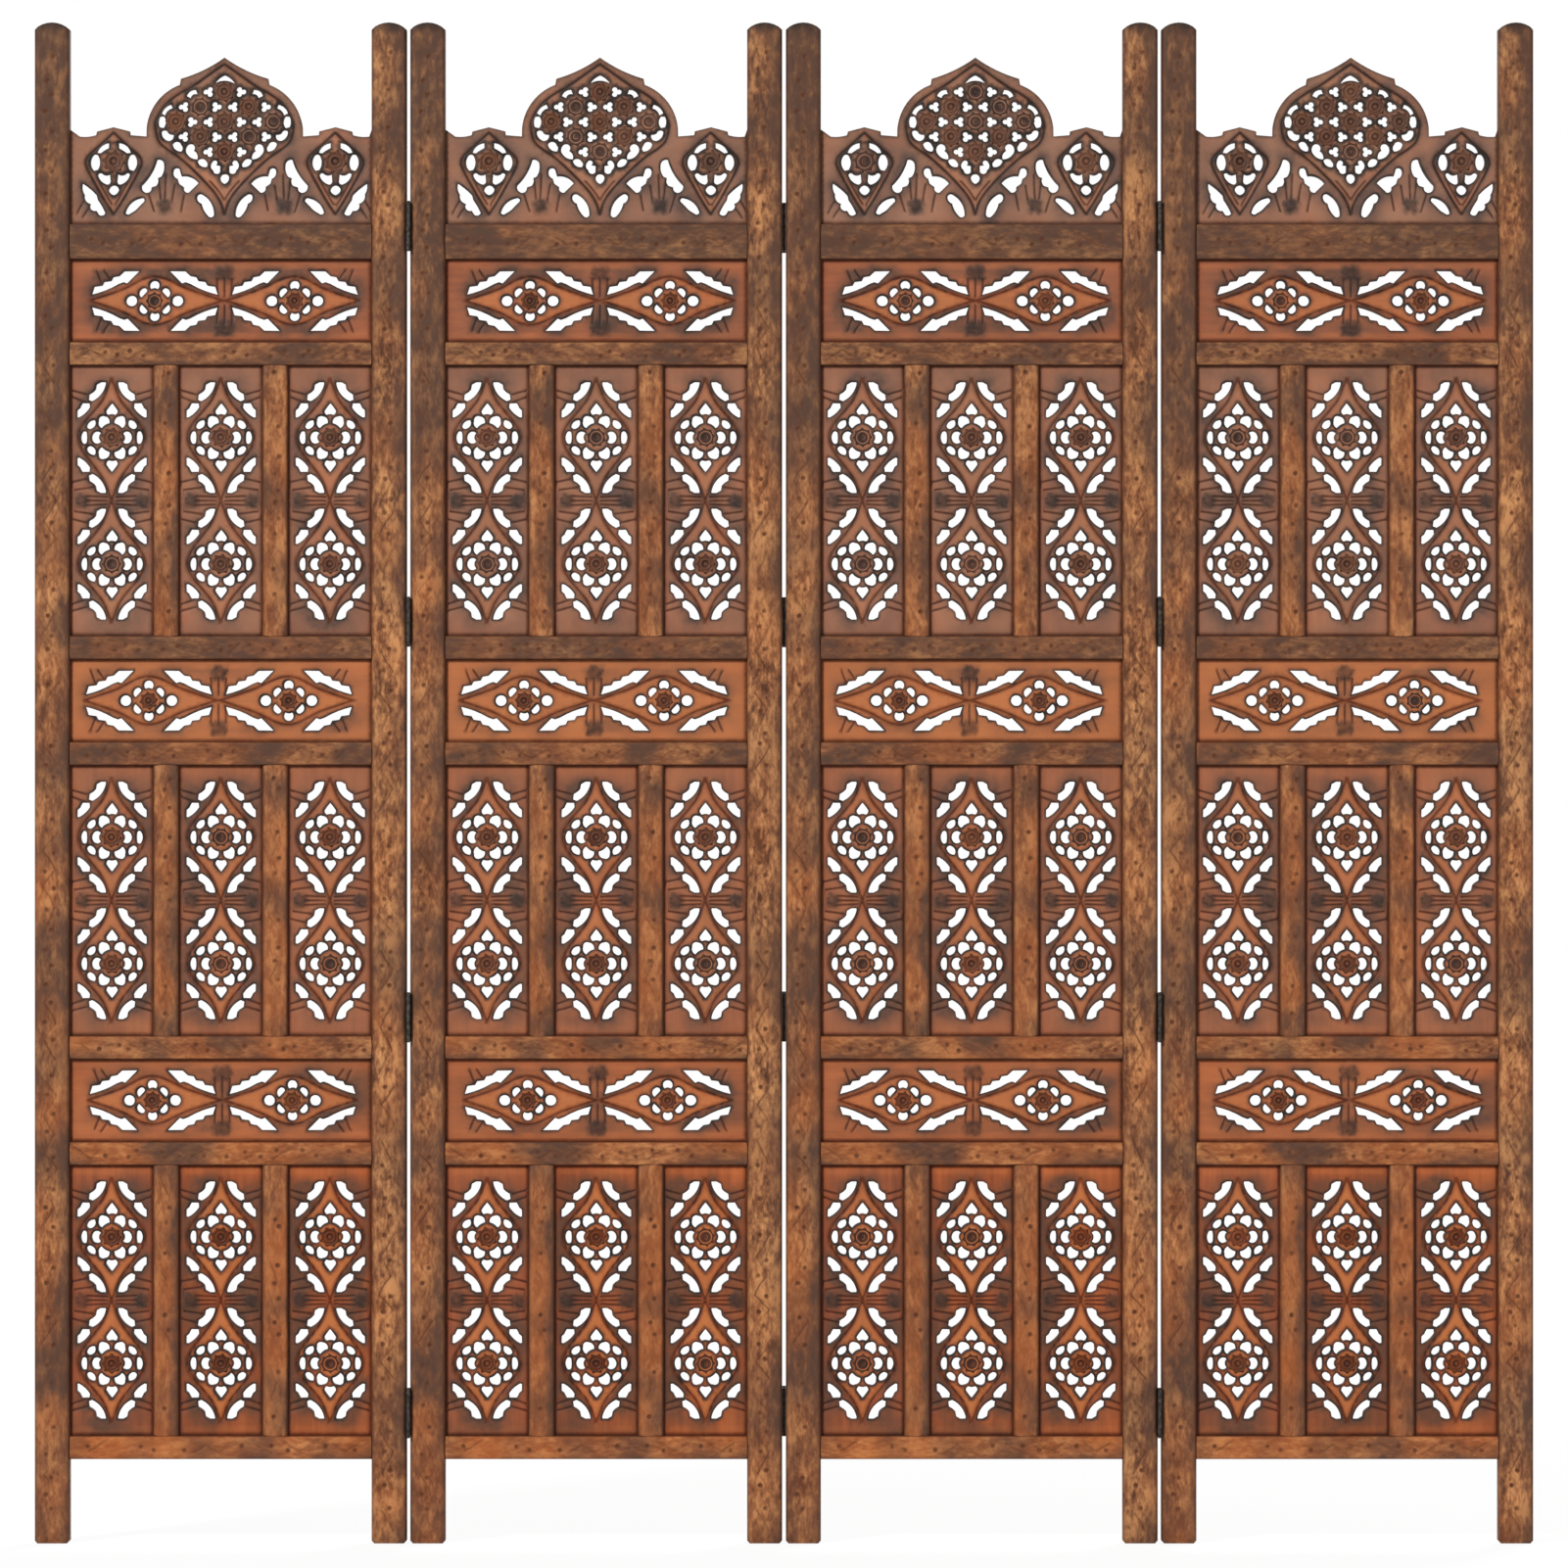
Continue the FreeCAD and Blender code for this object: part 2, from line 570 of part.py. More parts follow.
def make_fret():
    width, height = amount(fret_width), amount("Sizes.fret_height")
    stretch = width / drawn_fret[0], height / drawn_fret[1]
    cuts = []
    for outline in medallion_cuts(fret_centre_cuts, fret_side_cuts, fret_quarter_cuts):
        for middle in (-68.7, 68.7):
            cuts.append(wire_of(moved(outline, 0, middle), *stretch, front_face))
    return pierced_board(plain_border(width + 2 * tongue, height + 2 * tongue), cuts)


def make_frieze(shift):
    width, height = amount(clear_width), amount("Sizes.frieze_height")
    stretch = width / drawn_frieze[0], height / drawn_frieze[1]
    cuts = []
    for outline in medallion_cuts(frieze_centre_cuts, frieze_side_cuts, frieze_quarter_cuts):
        for middle, flip in ((-76, -1), (76, 1)):
            cuts.append(wire_of(moved(flipped(outline, flip, 1), middle + shift, 0),
                                *stretch, front_face))
    return pierced_board(plain_border(width + 2 * tongue, height + 2 * tongue), cuts)


# Three round lobes about a point in the dome's lattice, one of them aimed across.
def trefoil(across, up, aim):
    outline = []
    for turn in (60, 180, 300):
        lobe, corner = radians(turn - 60), radians(turn)
        outline.append((across + 2.7 * aim * cos(corner), up + 2.7 * sin(corner),
                        across + 5.9 * aim * cos(lobe), up + 5.9 * sin(lobe)))
    return outline


def make_crest():
    width = amount(clear_width)
    stretch = width / drawn_crest[0], amount("Sizes.crest_height") / drawn_crest[1]
    shift = amount("Sizes.crest_shift") / stretch[0]
    half = drawn_crest[0] / 2
    cuts = [crest_top_cut, crest_low_cut]
    for outline in crest_leaf_cuts + crest_rim_cuts:
        cuts += [outline, flipped(outline, -1, 1)]
    for side in (-1, 1):
        middle = moved(crest_drop_cut, side * 120.3, 68.4)
        cuts.append(middle)
        for outline in crest_side_cuts:
            for across in (1, -1):
                cuts.append(moved(flipped(outline, across, 1), side * 120.3, 68.4))
        for across, up, aim in ((9.2, 127.7, -1), (9.2, 95.1, -1), (17.4, 111.4, 1),
                                (35.6, 111.4, -1), (17.4, 144.0, 1), (44.2, 127.7, 1),
                                (44.4, 95.4, 1), (17.6, 78.8, 1)):
            cuts.append(trefoil(side * across, up, side * aim))
    wires = [wire_of(moved(outline, shift, 0), *stretch, front_face) for outline in cuts]

    # Right half of the top edge, then the post, the rail and the mirrored left half.
    right = moved(crest_outline, shift, 0)
    left = moved(flipped(crest_outline, -1, 1), shift, 0)
    edge = half + tongue / stretch[0]
    foot = -tongue / stretch[1]
    rise = amount(crest_side) / stretch[1]
    outline = right + [(half, rise), (edge, rise), (edge, foot), (-edge, foot), (-edge, rise),
                       (-half, rise)]
    backward = [(shift, drawn_crest[1])] + left
    outline.append(backward[-1][:2])
    for place in range(len(backward) - 1, 0, -1):
        outline.append(backward[place - 1][:2] + backward[place][2:])
    return pierced_board(wire_of(outline, *stretch, front_face), wires)


def lifted(shape, x, z):
    copy = shape.copy()
    copy.translate(FreeCAD.Vector(x, 0, z))
    return copy


nodes = []


def add_boards(label, x_place, shapes):
    item = doc.addObject("Part::Feature", label)
    item.Label = label
    item.Shape = Part.makeCompound(shapes)
    item.setExpression("Placement.Base.x", x_place)
    nodes.append(item)


# One node from linked copies of a pattern piece. Each place is (piece, x, y, z, turned round).
def add_copies(label, x_place, places):
    links = []
    for piece, x, y, z, about in places:
        link = doc.addObject("App::Link", f"{label}_copy")
        link.LinkedObject = piece
        link.Placement.Rotation = FreeCAD.Rotation(FreeCAD.Vector(0, 0, 1), 180 if about else 0)
        for axis, expression in (("x", x), ("y", y), ("z", z)):
            if expression != "0":
                link.setExpression(f"Placement.Base.{axis}", expression)
        links.append(link)
    group = doc.addObject("Part::Compound", label)
    group.Label = label
    group.Links = links
    group.setExpression("Placement.Base.x", x_place)
    nodes.append(group)


fret = make_fret()
crest = make_crest()
friezes = [make_frieze(shift) for shift in (1.5, -2.5, 4)]
tier_names = ("lower", "middle", "upper")

bottom_rail = make_rail("bottom_rail", "Sizes.rail_height", False)
cross_rail = make_rail("cross_rail", "Sizes.rail_height", True)
crest_rail = make_rail("crest_rail", "Sizes.crest_rail_height", True)
muntin = make_muntin()
peg = make_peg()
odd_leaf = make_leaf("odd_leaf", -1, (0, 2, 4))
even_leaf = make_leaf("even_leaf", 1, (1, 3))
hinge_pin = make_pin()
hinge_screw = make_screw()
posts = {}


def post_for(side_name, side, gap):
    facing = gap_facing(gap) if 0 < gap < panel_count else 0
    if (side, facing) not in posts:
        kind = {0: "plain", -1: "front_hinged", 1: "rear_hinged"}[facing]
        posts[side, facing] = make_post(f"{kind}_{side_name}_post", side, facing)
    return posts[side, facing]


for panel in range(1, panel_count + 1):
    name = f"panel_{panel}"
    across = f"({panel} - {(panel_count + 1) / 2}) * {pitch}"
    for side_name, side, gap in (("left", -1, panel - 1), ("right", 1, panel)):
        add_copies(f"{name}_{side_name}_post", across,
                   [(post_for(side_name, side, gap), "0", "0", "0", False)])
    rails = [(bottom_rail if row == 0 else cross_rail, "0", "0", rail_rows[row][0], False)
             for row in range(6)]
    add_copies(f"{name}_cross_rails", across, rails)
    add_copies(f"{name}_crest_rail", across, [(crest_rail, "0", "0", crest_rail_base, False)])
    add_copies(f"{name}_muntins", across,
               [(muntin, f"{side} * ({fret_width} + Sizes.muntin_width) / 2", "0",
                 f"{tier_base(tier)} + Sizes.rail_height", False)
                for tier in range(3) for side in (-1, 1)])
    add_copies(f"{name}_tenon_pegs", across,
               [(peg, f"{side} * {peg_across}", "0", z, False)
                for z in peg_heights for side in (-1, 1)])

    step = amount(fret_width) + amount("Sizes.muntin_width")
    boards = []
    for tier in range(3):
        middle = amount(f"{tier_base(tier)} + Sizes.rail_height + Sizes.fret_height / 2")
        add_boards(f"{name}_{tier_names[tier]}_frets", across,
                   [lifted(fret, place * step, middle) for place in (-1, 0, 1)])
        above = amount(f"{tier_base(tier + 1)} - Sizes.frieze_height / 2")
        boards.append(lifted(friezes[tier], 0, above))
    add_boards(f"{name}_friezes", across, boards)
    add_boards(f"{name}_crest", across, [lifted(crest, 0, amount(crest_base))])

# The rear-facing hinges of the middle gap are the same pieces turned half round.
for gap in range(1, panel_count):
    name = f"hinge_{gap}"
    across = f"({gap} - {panel_count / 2}) * {pitch}"
    facing = gap_facing(gap)
    about = facing > 0
    heights = [hinge_height_of(hinge) for hinge in range(hinges_per_gap)]
    for side_name, side in (("left", -1), ("right", 1)):
        leaf = odd_leaf if (side < 0) != about else even_leaf
        add_copies(f"{name}_{side_name}_leaves", across,
                   [(leaf, "0", "0", z, about) for z in heights])
        add_copies(f"{name}_{side_name}_screws", across,
                   [(hinge_screw, f"{side} * (Sizes.panel_gap / 2 - Sizes.leaf_thickness)",
                     f"{facing} * ({hinge_reach} - {inset})", f"{z} + {rise}", side < 0)
                    for z in heights for inset, rise in screw_spots])
    add_copies(f"{name}_pins", across, [(hinge_pin, "0", "0", z, about) for z in heights])

doc.recompute()
for item in doc.Objects:
    if "Invalid" in item.State or "Error" in item.State:
        raise RuntimeError(f"{item.Label} did not rebuild: {item.State}")
os.makedirs("parts", exist_ok=True)
for node in nodes:
    if node.Shape.isNull() or not node.Shape.isValid():
        raise RuntimeError(f"{node.Label} has no valid shape")
    node.Shape.exportStep(f"parts/{node.Label}.step")
print(len(nodes), "nodes written")
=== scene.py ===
import math
import random
import bpy
import bmesh
import numpy as np
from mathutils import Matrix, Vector, geometry


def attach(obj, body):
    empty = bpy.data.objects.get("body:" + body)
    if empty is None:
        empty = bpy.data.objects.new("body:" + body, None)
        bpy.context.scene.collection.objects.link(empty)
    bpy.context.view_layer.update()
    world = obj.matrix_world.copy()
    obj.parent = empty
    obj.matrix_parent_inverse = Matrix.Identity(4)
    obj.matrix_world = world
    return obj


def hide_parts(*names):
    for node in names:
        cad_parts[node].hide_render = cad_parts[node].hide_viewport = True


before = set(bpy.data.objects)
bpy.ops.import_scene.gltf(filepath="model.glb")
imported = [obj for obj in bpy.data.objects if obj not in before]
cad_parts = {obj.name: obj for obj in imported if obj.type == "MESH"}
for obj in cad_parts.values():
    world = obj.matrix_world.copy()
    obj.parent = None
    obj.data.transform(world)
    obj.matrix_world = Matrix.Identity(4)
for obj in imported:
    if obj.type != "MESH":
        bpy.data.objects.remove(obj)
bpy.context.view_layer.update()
scene = bpy.context.scene
scene.view_settings.view_transform = "Standard"
mm = 0.001

# where the panels, boards and gaps stand, in mm
layout = {
    "panelPitch": 407.5,
    "clearWidth": 327.5,
    "postWidth": 38,
    "postDepth": 25,
    "railHeight": 25,
    "legHeight": 91.5,
    "fretHeight": 294,
    "fretWidth": 90.5,
    "muntinWidth": 28,
    "friezeHeight": 90,
    "crestRailHeight": 38,
    "boardDepth": 10,
    "tuck": 1.0,             # how far a board runs in behind its frame
}
panelCount = 4
tierNames = ("lower", "middle", "upper")
module = 2 * layout["railHeight"] + layout["fretHeight"] + layout["friezeHeight"]
columnStep = layout["fretWidth"] + layout["muntinWidth"]
crestRailBase = layout["legHeight"] + 3 * module
crestBase = crestRailBase + layout["crestRailHeight"]


def panelMiddle(panel):
    return (panel - (panelCount + 1) / 2) * layout["panelPitch"]


def tierFoot(tier):
    return layout["legHeight"] + tier * module


def fretMiddle(tier):
    return tierFoot(tier) + layout["railHeight"] + layout["fretHeight"] / 2


def friezeMiddle(tier):
    return tierFoot(tier + 1) - layout["friezeHeight"] / 2


# flat outlines and distances, all in mm as (x, z)

def chained(onward):
    # closed loops from a dictionary that leads from each corner to the next
    loops = []
    while onward:
        here, loop = next(iter(onward)), []
        while here in onward:
            loop.append(here)
            here = onward.pop(here)
        loops.append(loop)
    return loops


def frontLoops(nodeName, low, high):
    # outlines of a CAD node's front faces that lie between two corners
    work = bmesh.new()
    work.from_mesh(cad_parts[nodeName].data)
    bmesh.ops.remove_doubles(work, verts=work.verts, dist=1e-6)
    work.normal_update()
    onward = {}
    for face in work.faces:
        if face.normal.y > -0.9:
            continue
        for corner in face.loops:
            if corner.link_loop_radial_next.face.normal.y > -0.9:
                onward[corner.vert] = corner.link_loop_next.vert
    loops = [[(corner.co.x / mm, corner.co.z / mm) for corner in loop] for loop in chained(onward)]
    work.free()
    middles = [np.mean(loop, axis=0) for loop in loops]
    return [loop for loop, (x, z) in zip(loops, middles) if low[0] < x < high[0] and low[1] < z < high[1]]


def thinned(loop, tolerance=0.06, longest=3.2):
    # fewer points along an outline, with its corners kept
    spots = np.array(loop)
    before, after = spots - np.roll(spots, 1, 0), np.roll(spots, -1, 0) - spots
    bend = np.abs(np.arctan2(before[:, 0] * after[:, 1] - before[:, 1] * after[:, 0],
                             (before * after).sum(1)))
    spots = np.roll(spots, -int(bend.argmax()), 0)
    spots = np.vstack([spots, spots[:1]])
    kept, here = [0], 0
    while here < len(spots) - 1:
        there = here + 1
        while there + 1 < len(spots):
            run = np.array([[*spots[here], *spots[there + 1]]])
            if (np.hypot(*(spots[there + 1] - spots[here])) > longest
                    or reach(spots[here + 1:there + 1], run).max() > tolerance):
                break
            there += 1
        kept.append(there)
        here = there
    return [tuple(spots[i]) for i in kept[:-1]]


def spanOf(loop):
    return np.ptp(np.array(loop), axis=0).prod()


def runsOf(lines, closed=False):
    rows = []
    for line in lines:
        line = list(line)
        ends = line[1:] + line[:1] if closed else line[1:]
        rows += [(*a, *b) for a, b in zip(line, ends)]
    return np.array(rows, float).reshape(-1, 4)


def reach(spots, runs):
    # distance from each spot to the nearest run
    best = np.full(len(spots), 1e3)
    for x0, z0, x1, z1 in runs:
        dx, dz = x1 - x0, z1 - z0
        along = ((spots[:, 0] - x0) * dx + (spots[:, 1] - z0) * dz) / max(dx * dx + dz * dz, 1e-9)
        along = np.clip(along, 0, 1)
        best = np.minimum(best, np.hypot(spots[:, 0] - x0 - along * dx, spots[:, 1] - z0 - along * dz))
    return best


def within(spots, loop):
    inside = np.zeros(len(spots), bool)
    x, z = spots[:, 0], spots[:, 1]
    px, pz = loop[-1]
    for qx, qz in loop:
        if qz != pz:
            crosses = (qz > z) != (pz > z)
            inside ^= crosses & (x < (px - qx) * (z - qz) / (pz - qz) + qx)
        px, pz = qx, qz
    return inside


def inWood(spots, outline, holes):
    inside = within(spots, outline)
    for hole in holes:
        inside &= ~within(spots, hole)
    return inside


def besideLoop(loop, gap):
    # the outline moved sideways into the wood
    spots = np.array(loop)
    ahead = np.roll(spots, -1, 0) - spots
    ahead /= np.maximum(np.hypot(ahead[:, 0], ahead[:, 1]), 1e-9)[:, None]
    side = np.column_stack([-ahead[:, 1], ahead[:, 0]])
    side = side + np.roll(side, 1, 0)
    side /= np.maximum((side ** 2).sum(1) / 2, 0.6)[:, None]
    return spots + side * gap


def besideLine(line, gap):
    spots = np.array(line)
    ahead = np.gradient(spots, axis=0)
    ahead /= np.maximum(np.hypot(ahead[:, 0], ahead[:, 1]), 1e-9)[:, None]
    return [tuple(p) for p in spots + np.column_stack([-ahead[:, 1], ahead[:, 0]]) * gap]


def smoothLine(points, steps=5):
    # a rounded line through some points
    points = [np.array(p, float) for p in points]
    ends = [2 * points[0] - points[1]] + points + [2 * points[-1] - points[-2]]
    line = []
    for a, b, c, d in zip(ends, ends[1:], ends[2:], ends[3:]):
        for step in range(steps):
            t = step / steps
            line.append(tuple(0.5 * (2 * b + (c - a) * t + (2 * a - 5 * b + 4 * c - d) * t * t
                                     + (3 * b - a - 3 * c + d) * t ** 3)))
    return line + [tuple(points[-1])]


def stroke(start, end, steps=3):
    return [(start[0] + (end[0] - start[0]) * i / steps, start[1] + (end[1] - start[1]) * i / steps)
            for i in range(steps + 1)]


def dividedLoop(corners, run, least):
    # a closed outline with more points along its sides
    loop = []
    for a, b in zip(corners, corners[1:] + corners[:1]):
        loop += stroke(a, b, max(least, round(math.dist(a, b) / run)))[:-1]
    return loop


def ringOf(x, z, wide, tall, count):
    return [(x + wide * math.cos(i * math.tau / count), z + tall * math.sin(i * math.tau / count))
            for i in range(count)]


def unit(values):
    return np.clip(values, 0, 1)


def fade(far, width, power=2):
    # 1 at no distance, and nothing far away
    return np.exp(-(far / width) ** power)


def mottle(spots, seed, size):
    # slow seeded unevenness between 0 and 1
    draw = random.Random(seed)
    total = np.zeros(len(spots))
    for wave in range(7):
        turn, phase = draw.uniform(0, math.tau), draw.uniform(0, math.tau)
        step = math.tau / (size * draw.uniform(0.6, 1.7))
        total += np.sin((spots[:, 0] * math.cos(turn) + spots[:, 1] * math.sin(turn)) * step + phase)
    return unit(0.5 + total / 7)


# solids with a carved front

def cover(outline, holes, lines, loose):
    # triangles over an outline less its holes, with every line kept as an edge
    spots, edges = [], []
    for line, closed in [(outline, True)] + [(h, True) for h in holes] + [(l, False) for l in lines]:
        first, count = len(spots), len(line)
        spots += [Vector(p) for p in line]
        edges += [(first + i, first + (i + 1) % count) for i in range(count if closed else count - 1)]
    spots += [Vector(p) for p in loose]
    made = geometry.delaunay_2d_cdt(spots, edges, [], 0, 1e-4)
    places = np.array([tuple(p) for p in made[0]])
    triangles = np.array([f for f in made[2] if len(f) == 3])
    middles = places[triangles].mean(axis=1)
    triangles = triangles[inWood(middles, outline, holes)]
    a, b, c = (places[triangles[:, i]] for i in range(3))
    area = (b - a)[:, 0] * (c - a)[:, 1] - (b - a)[:, 1] * (c - a)[:, 0]
    triangles[area < 0] = triangles[area < 0][:, ::-1]
    used, triangles = np.unique(triangles, return_inverse=True)
    return places[used], triangles.reshape(-1, 3)


def rimOf(triangles):
    runs = np.concatenate([triangles[:, [0, 1]], triangles[:, [1, 2]], triangles[:, [2, 0]]]).tolist()
    have = set(map(tuple, runs))
    return [(a, b) for a, b in runs if (b, a) not in have]


def slab(outline, holes, lines, loose, backLines, backLoose, front, back):
    # a closed solid; front and back give y and the finish at each spot
    places, triangles = cover(outline, holes, lines, loose)
    rim = rimOf(triangles)
    loops = [[tuple(places[i]) for i in loop] for loop in chained(dict(rim))]
    outer = int(np.argmax([spanOf(loop) for loop in loops]))
    others = loops[:outer] + loops[outer + 1:]
    backPlaces, backTriangles = cover(loops[outer], others, backLines, backLoose)
    frontY, finish = front(places)
    backY, backFinish = back(backPlaces)
    count = len(places)
    key = {(round(x, 2), round(z, 2)): i for i, (x, z) in enumerate(backPlaces)}
    behind = {}
    for i in {i for run in rim for i in run}:
        x, z = places[i]
        found = key.get((round(x, 2), round(z, 2)))
        behind[i] = count + (int(np.hypot(*(backPlaces - places[i]).T).argmin()) if found is None else found)
    walls = []
    for a, b in rim:
        walls += [(a, behind[a], behind[b]), (a, behind[b], b)]
    points = np.vstack([np.column_stack([places[:, 0], frontY, places[:, 1]]),
                        np.column_stack([backPlaces[:, 0], backY, backPlaces[:, 1]])])
    faces = np.vstack([triangles, backTriangles[:, ::-1] + count, np.array(walls)])
    finishes = {name: np.concatenate([finish[name], backFinish[name]]) for name in finish}
    return {"points": points, "faces": faces, "finish": finishes}


finishNames = ("cut", "char", "smoke", "tone", "warm", "bright", "edge")


def shifted(solid, x, z, **finish):
    # a copy in its place, with its own finish
    copy = {"points": solid["points"] + np.array([x, 0, z]), "faces": solid["faces"],
            "finish": dict(solid["finish"])}
    count = len(copy["points"])
    for name, value in finish.items():
        copy["finish"][name] = np.broadcast_to(np.asarray(value, float), (count,))
    return copy


def meshPiece(name, solids, material):
    mesh = bpy.data.meshes.new(name)
    first, faces = 0, []
    for solid in solids:
        faces.append(solid["faces"] + first)
        first += len(solid["points"])
    points = np.vstack([solid["points"] for solid in solids]) * mm
    faces = np.vstack(faces)
    mesh.vertices.add(len(points))
    mesh.vertices.foreach_set("co", points.ravel())
    mesh.loops.add(faces.size)
    mesh.loops.foreach_set("vertex_index", faces.ravel().astype(np.int32))
    mesh.polygons.add(len(faces))
    mesh.polygons.foreach_set("loop_start", np.arange(0, faces.size, 3, dtype=np.int32))
    mesh.update(calc_edges=True)
    for finishName in finishNames:
        layer = mesh.attributes.new(finishName, "FLOAT", "POINT")
        layer.data.foreach_set("value", np.concatenate(
            [np.broadcast_to(solid["finish"].get(finishName, 0.0), (len(solid["points"]),))
             for solid in solids]).astype(np.float32))
    mesh.polygons.foreach_set("use_smooth", np.ones(len(faces), bool))
    mesh.set_sharp_from_angle(angle=math.radians(38))
    mesh.materials.append(material)
    piece = bpy.data.objects.new(name, mesh)
    scene.collection.objects.link(piece)
    return piece


def settle(piece, body, slot, *nodes):
    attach(piece, body)
    if nodes:
        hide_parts(*nodes)


# finishes

def addNode(tree, kind, **values):
    node = tree.nodes.new(kind)
    for name, value in values.items():
        setattr(node, name, value)
    return node


def wire(tree, source, target):
    tree.links.new(source, target)


def nodeWith(tree, kind, inputs, **values):
    # a node whose inputs are wired or set
    node = addNode(tree, kind, **values)
    for name, value in inputs.items():
        if isinstance(value, bpy.types.NodeSocket):
            wire(tree, value, node.inputs[name])
        else:
            node.inputs[name].default_value = value
    return node


def finishValue(tree, name):
    return addNode(tree, "ShaderNodeAttribute", attribute_name=name).outputs["Fac"]


def sums(tree, kind, first, second, clamp=False):
    return nodeWith(tree, "ShaderNodeMath", {0: first, 1: second}, operation=kind, use_clamp=clamp).outputs[0]


def vectorMath(tree, kind, inputs):
    return nodeWith(tree, "ShaderNodeVectorMath", inputs, operation=kind).outputs[0]


def weighted(tree, *parts):
    total = None
    for value, share in parts:
        part = sums(tree, "MULTIPLY", value, share)
        total = part if total is None else sums(tree, "ADD", total, part)
    return total


def stainOf(tree, name, grainy, least):
    # how much of a stain there is, broken up by a noise
    return sums(tree, "MULTIPLY", finishValue(tree, name), sums(tree, "ADD", grainy, least), True)


def noiseOf(tree, place, scale, detail, rough):
    inputs = {"Vector": place, "Scale": scale, "Detail": detail, "Roughness": rough}
    return nodeWith(tree, "ShaderNodeTexNoise", inputs).outputs["Fac"]


def rampOf(tree, value, places, colours):
    node = nodeWith(tree, "ShaderNodeValToRGB", {"Fac": value})
    ramp = node.color_ramp
    while len(ramp.elements) < len(places):
        ramp.elements.new(0.5)
    for element, place, colour in zip(ramp.elements, places, colours):
        element.position = place
        element.color = (*colour, 1)
    return node.outputs["Color"]


def blendOf(tree, amount, first, second, kind="MIX"):
    inputs = {"Factor": amount, "A": first, "B": second}
    inputs = {name: (*value, 1) if isinstance(value, tuple) else value for name, value in inputs.items()}
    return nodeWith(tree, "ShaderNodeMix", inputs, data_type="RGBA", blend_type=kind).outputs["Result"]


def newMaterial(name):
    material = bpy.data.materials.new(name)
    material.use_nodes = True
    tree = material.node_tree
    return material, tree, tree.nodes["Principled BSDF"]


def grainPlace(tree, grain):
    # Object coordinates drawn out along the grain, moved on for each piece of wood
    offset = vectorMath(tree, "SCALE", {0: (13.1, 5.7, 29.3), "Scale": finishValue(tree, "tone")})
    coordinates = addNode(tree, "ShaderNodeTexCoord").outputs["Object"]
    moved = vectorMath(tree, "ADD", {0: coordinates, 1: offset})
    drawn = nodeWith(tree, "ShaderNodeMapping", {"Vector": moved, "Scale": grain})
    return moved, drawn.outputs["Vector"]


def polish(tree, shader, colour, streaks, gloss, relief, bump):
    wire(tree, colour, shader.inputs["Base Color"])
    spread, least = gloss
    wire(tree, sums(tree, "ADD", sums(tree, "MULTIPLY", streaks, spread), least), shader.inputs["Roughness"])
    strength, height = bump
    raised = nodeWith(tree, "ShaderNodeBump", {"Strength": strength, "Distance": height, "Height": relief})
    wire(tree, raised.outputs["Normal"], shader.inputs["Normal"])


boardFinish = {
    "dark": (0.142, 0.030, 0.009),
    "mid": (0.258, 0.055, 0.015),
    "light": (0.375, 0.094, 0.027),
    "dull": (0.252, 0.128, 0.081),
    # the ribbons' colour, also used for the painted highlight band at each end of a board
    "bright": (0.410, 0.138, 0.044),
    # painted shadow that the frame casts along a board
    "edge": (0.185, 0.036, 0.012),
    "smoke": (0.084, 0.050, 0.039),
    "warmSmoke": (0.088, 0.038, 0.022),
    "cut": (0.36, 0.235, 0.17),    # what a carved line leaves of the wood's colour
    "bossCut": (0.17, 0.115, 0.09),
    "char": (0.018, 0.013, 0.011),
    "tones": (0.36, 0.5, 0.66),    # where the figure is dark, mid and light
    "streaks": (150, 5, 0.6),      # scale, detail and roughness of each noise
    "broad": (26, 3, 0.5),
    "patch": (16, 3, 0.6),
    "cloud": (75, 4, 0.62),
    "gloss": (0.22, 0.4),          # spread and least roughness
    "shine": 0.1,
    "bump": (0.22, 0.0008),        # strength and height
    "grainUp": (1.0, 1.0, 0.10),
    "grainAcross": (0.10, 1.0, 1.0),
}


def boardWood(name, grain, lines):
    b = boardFinish
    material, tree, shader = newMaterial(name)
    place, drawn = grainPlace(tree, grain)
    streaks, broad = (noiseOf(tree, drawn, *b[kind]) for kind in ("streaks", "broad"))
    patch, cloud = (noiseOf(tree, place, *b[kind]) for kind in ("patch", "cloud"))
    figure = weighted(tree, (streaks, 0.45), (broad, 0.55))
    wood = rampOf(tree, figure, b["tones"], (b["dark"], b["mid"], b["light"]))
    dull = sums(tree, "SUBTRACT", 1.0, finishValue(tree, "warm"), True)
    wood = blendOf(tree, sums(tree, "MULTIPLY", dull, sums(tree, "ADD", patch, 0.4, True)), wood, b["dull"])
    smoke = blendOf(tree, finishValue(tree, "warm"), b["smoke"], b["warmSmoke"])
    # edge lays painted shadow along the frame, bright also a painted highlight at the ends, and char and cut
    # also painted shade in the seams
    for stain, grainy, least, colour, kind in (
            ("bright", patch, 0.25, b["bright"], "MIX"), ("edge", cloud, 0.3, b["edge"], "MIX"),
            ("smoke", cloud, 0.42, smoke, "MIX"), ("cut", cloud, 0.5, lines, "MULTIPLY"),
            ("char", cloud, 0.55, b["char"], "MIX")):
        wood = blendOf(tree, stainOf(tree, stain, grainy, least), wood, colour, kind)
    polish(tree, shader, wood, streaks, b["gloss"], streaks, b["bump"])
    shader.inputs["Specular IOR Level"].default_value = b["shine"]
    return material


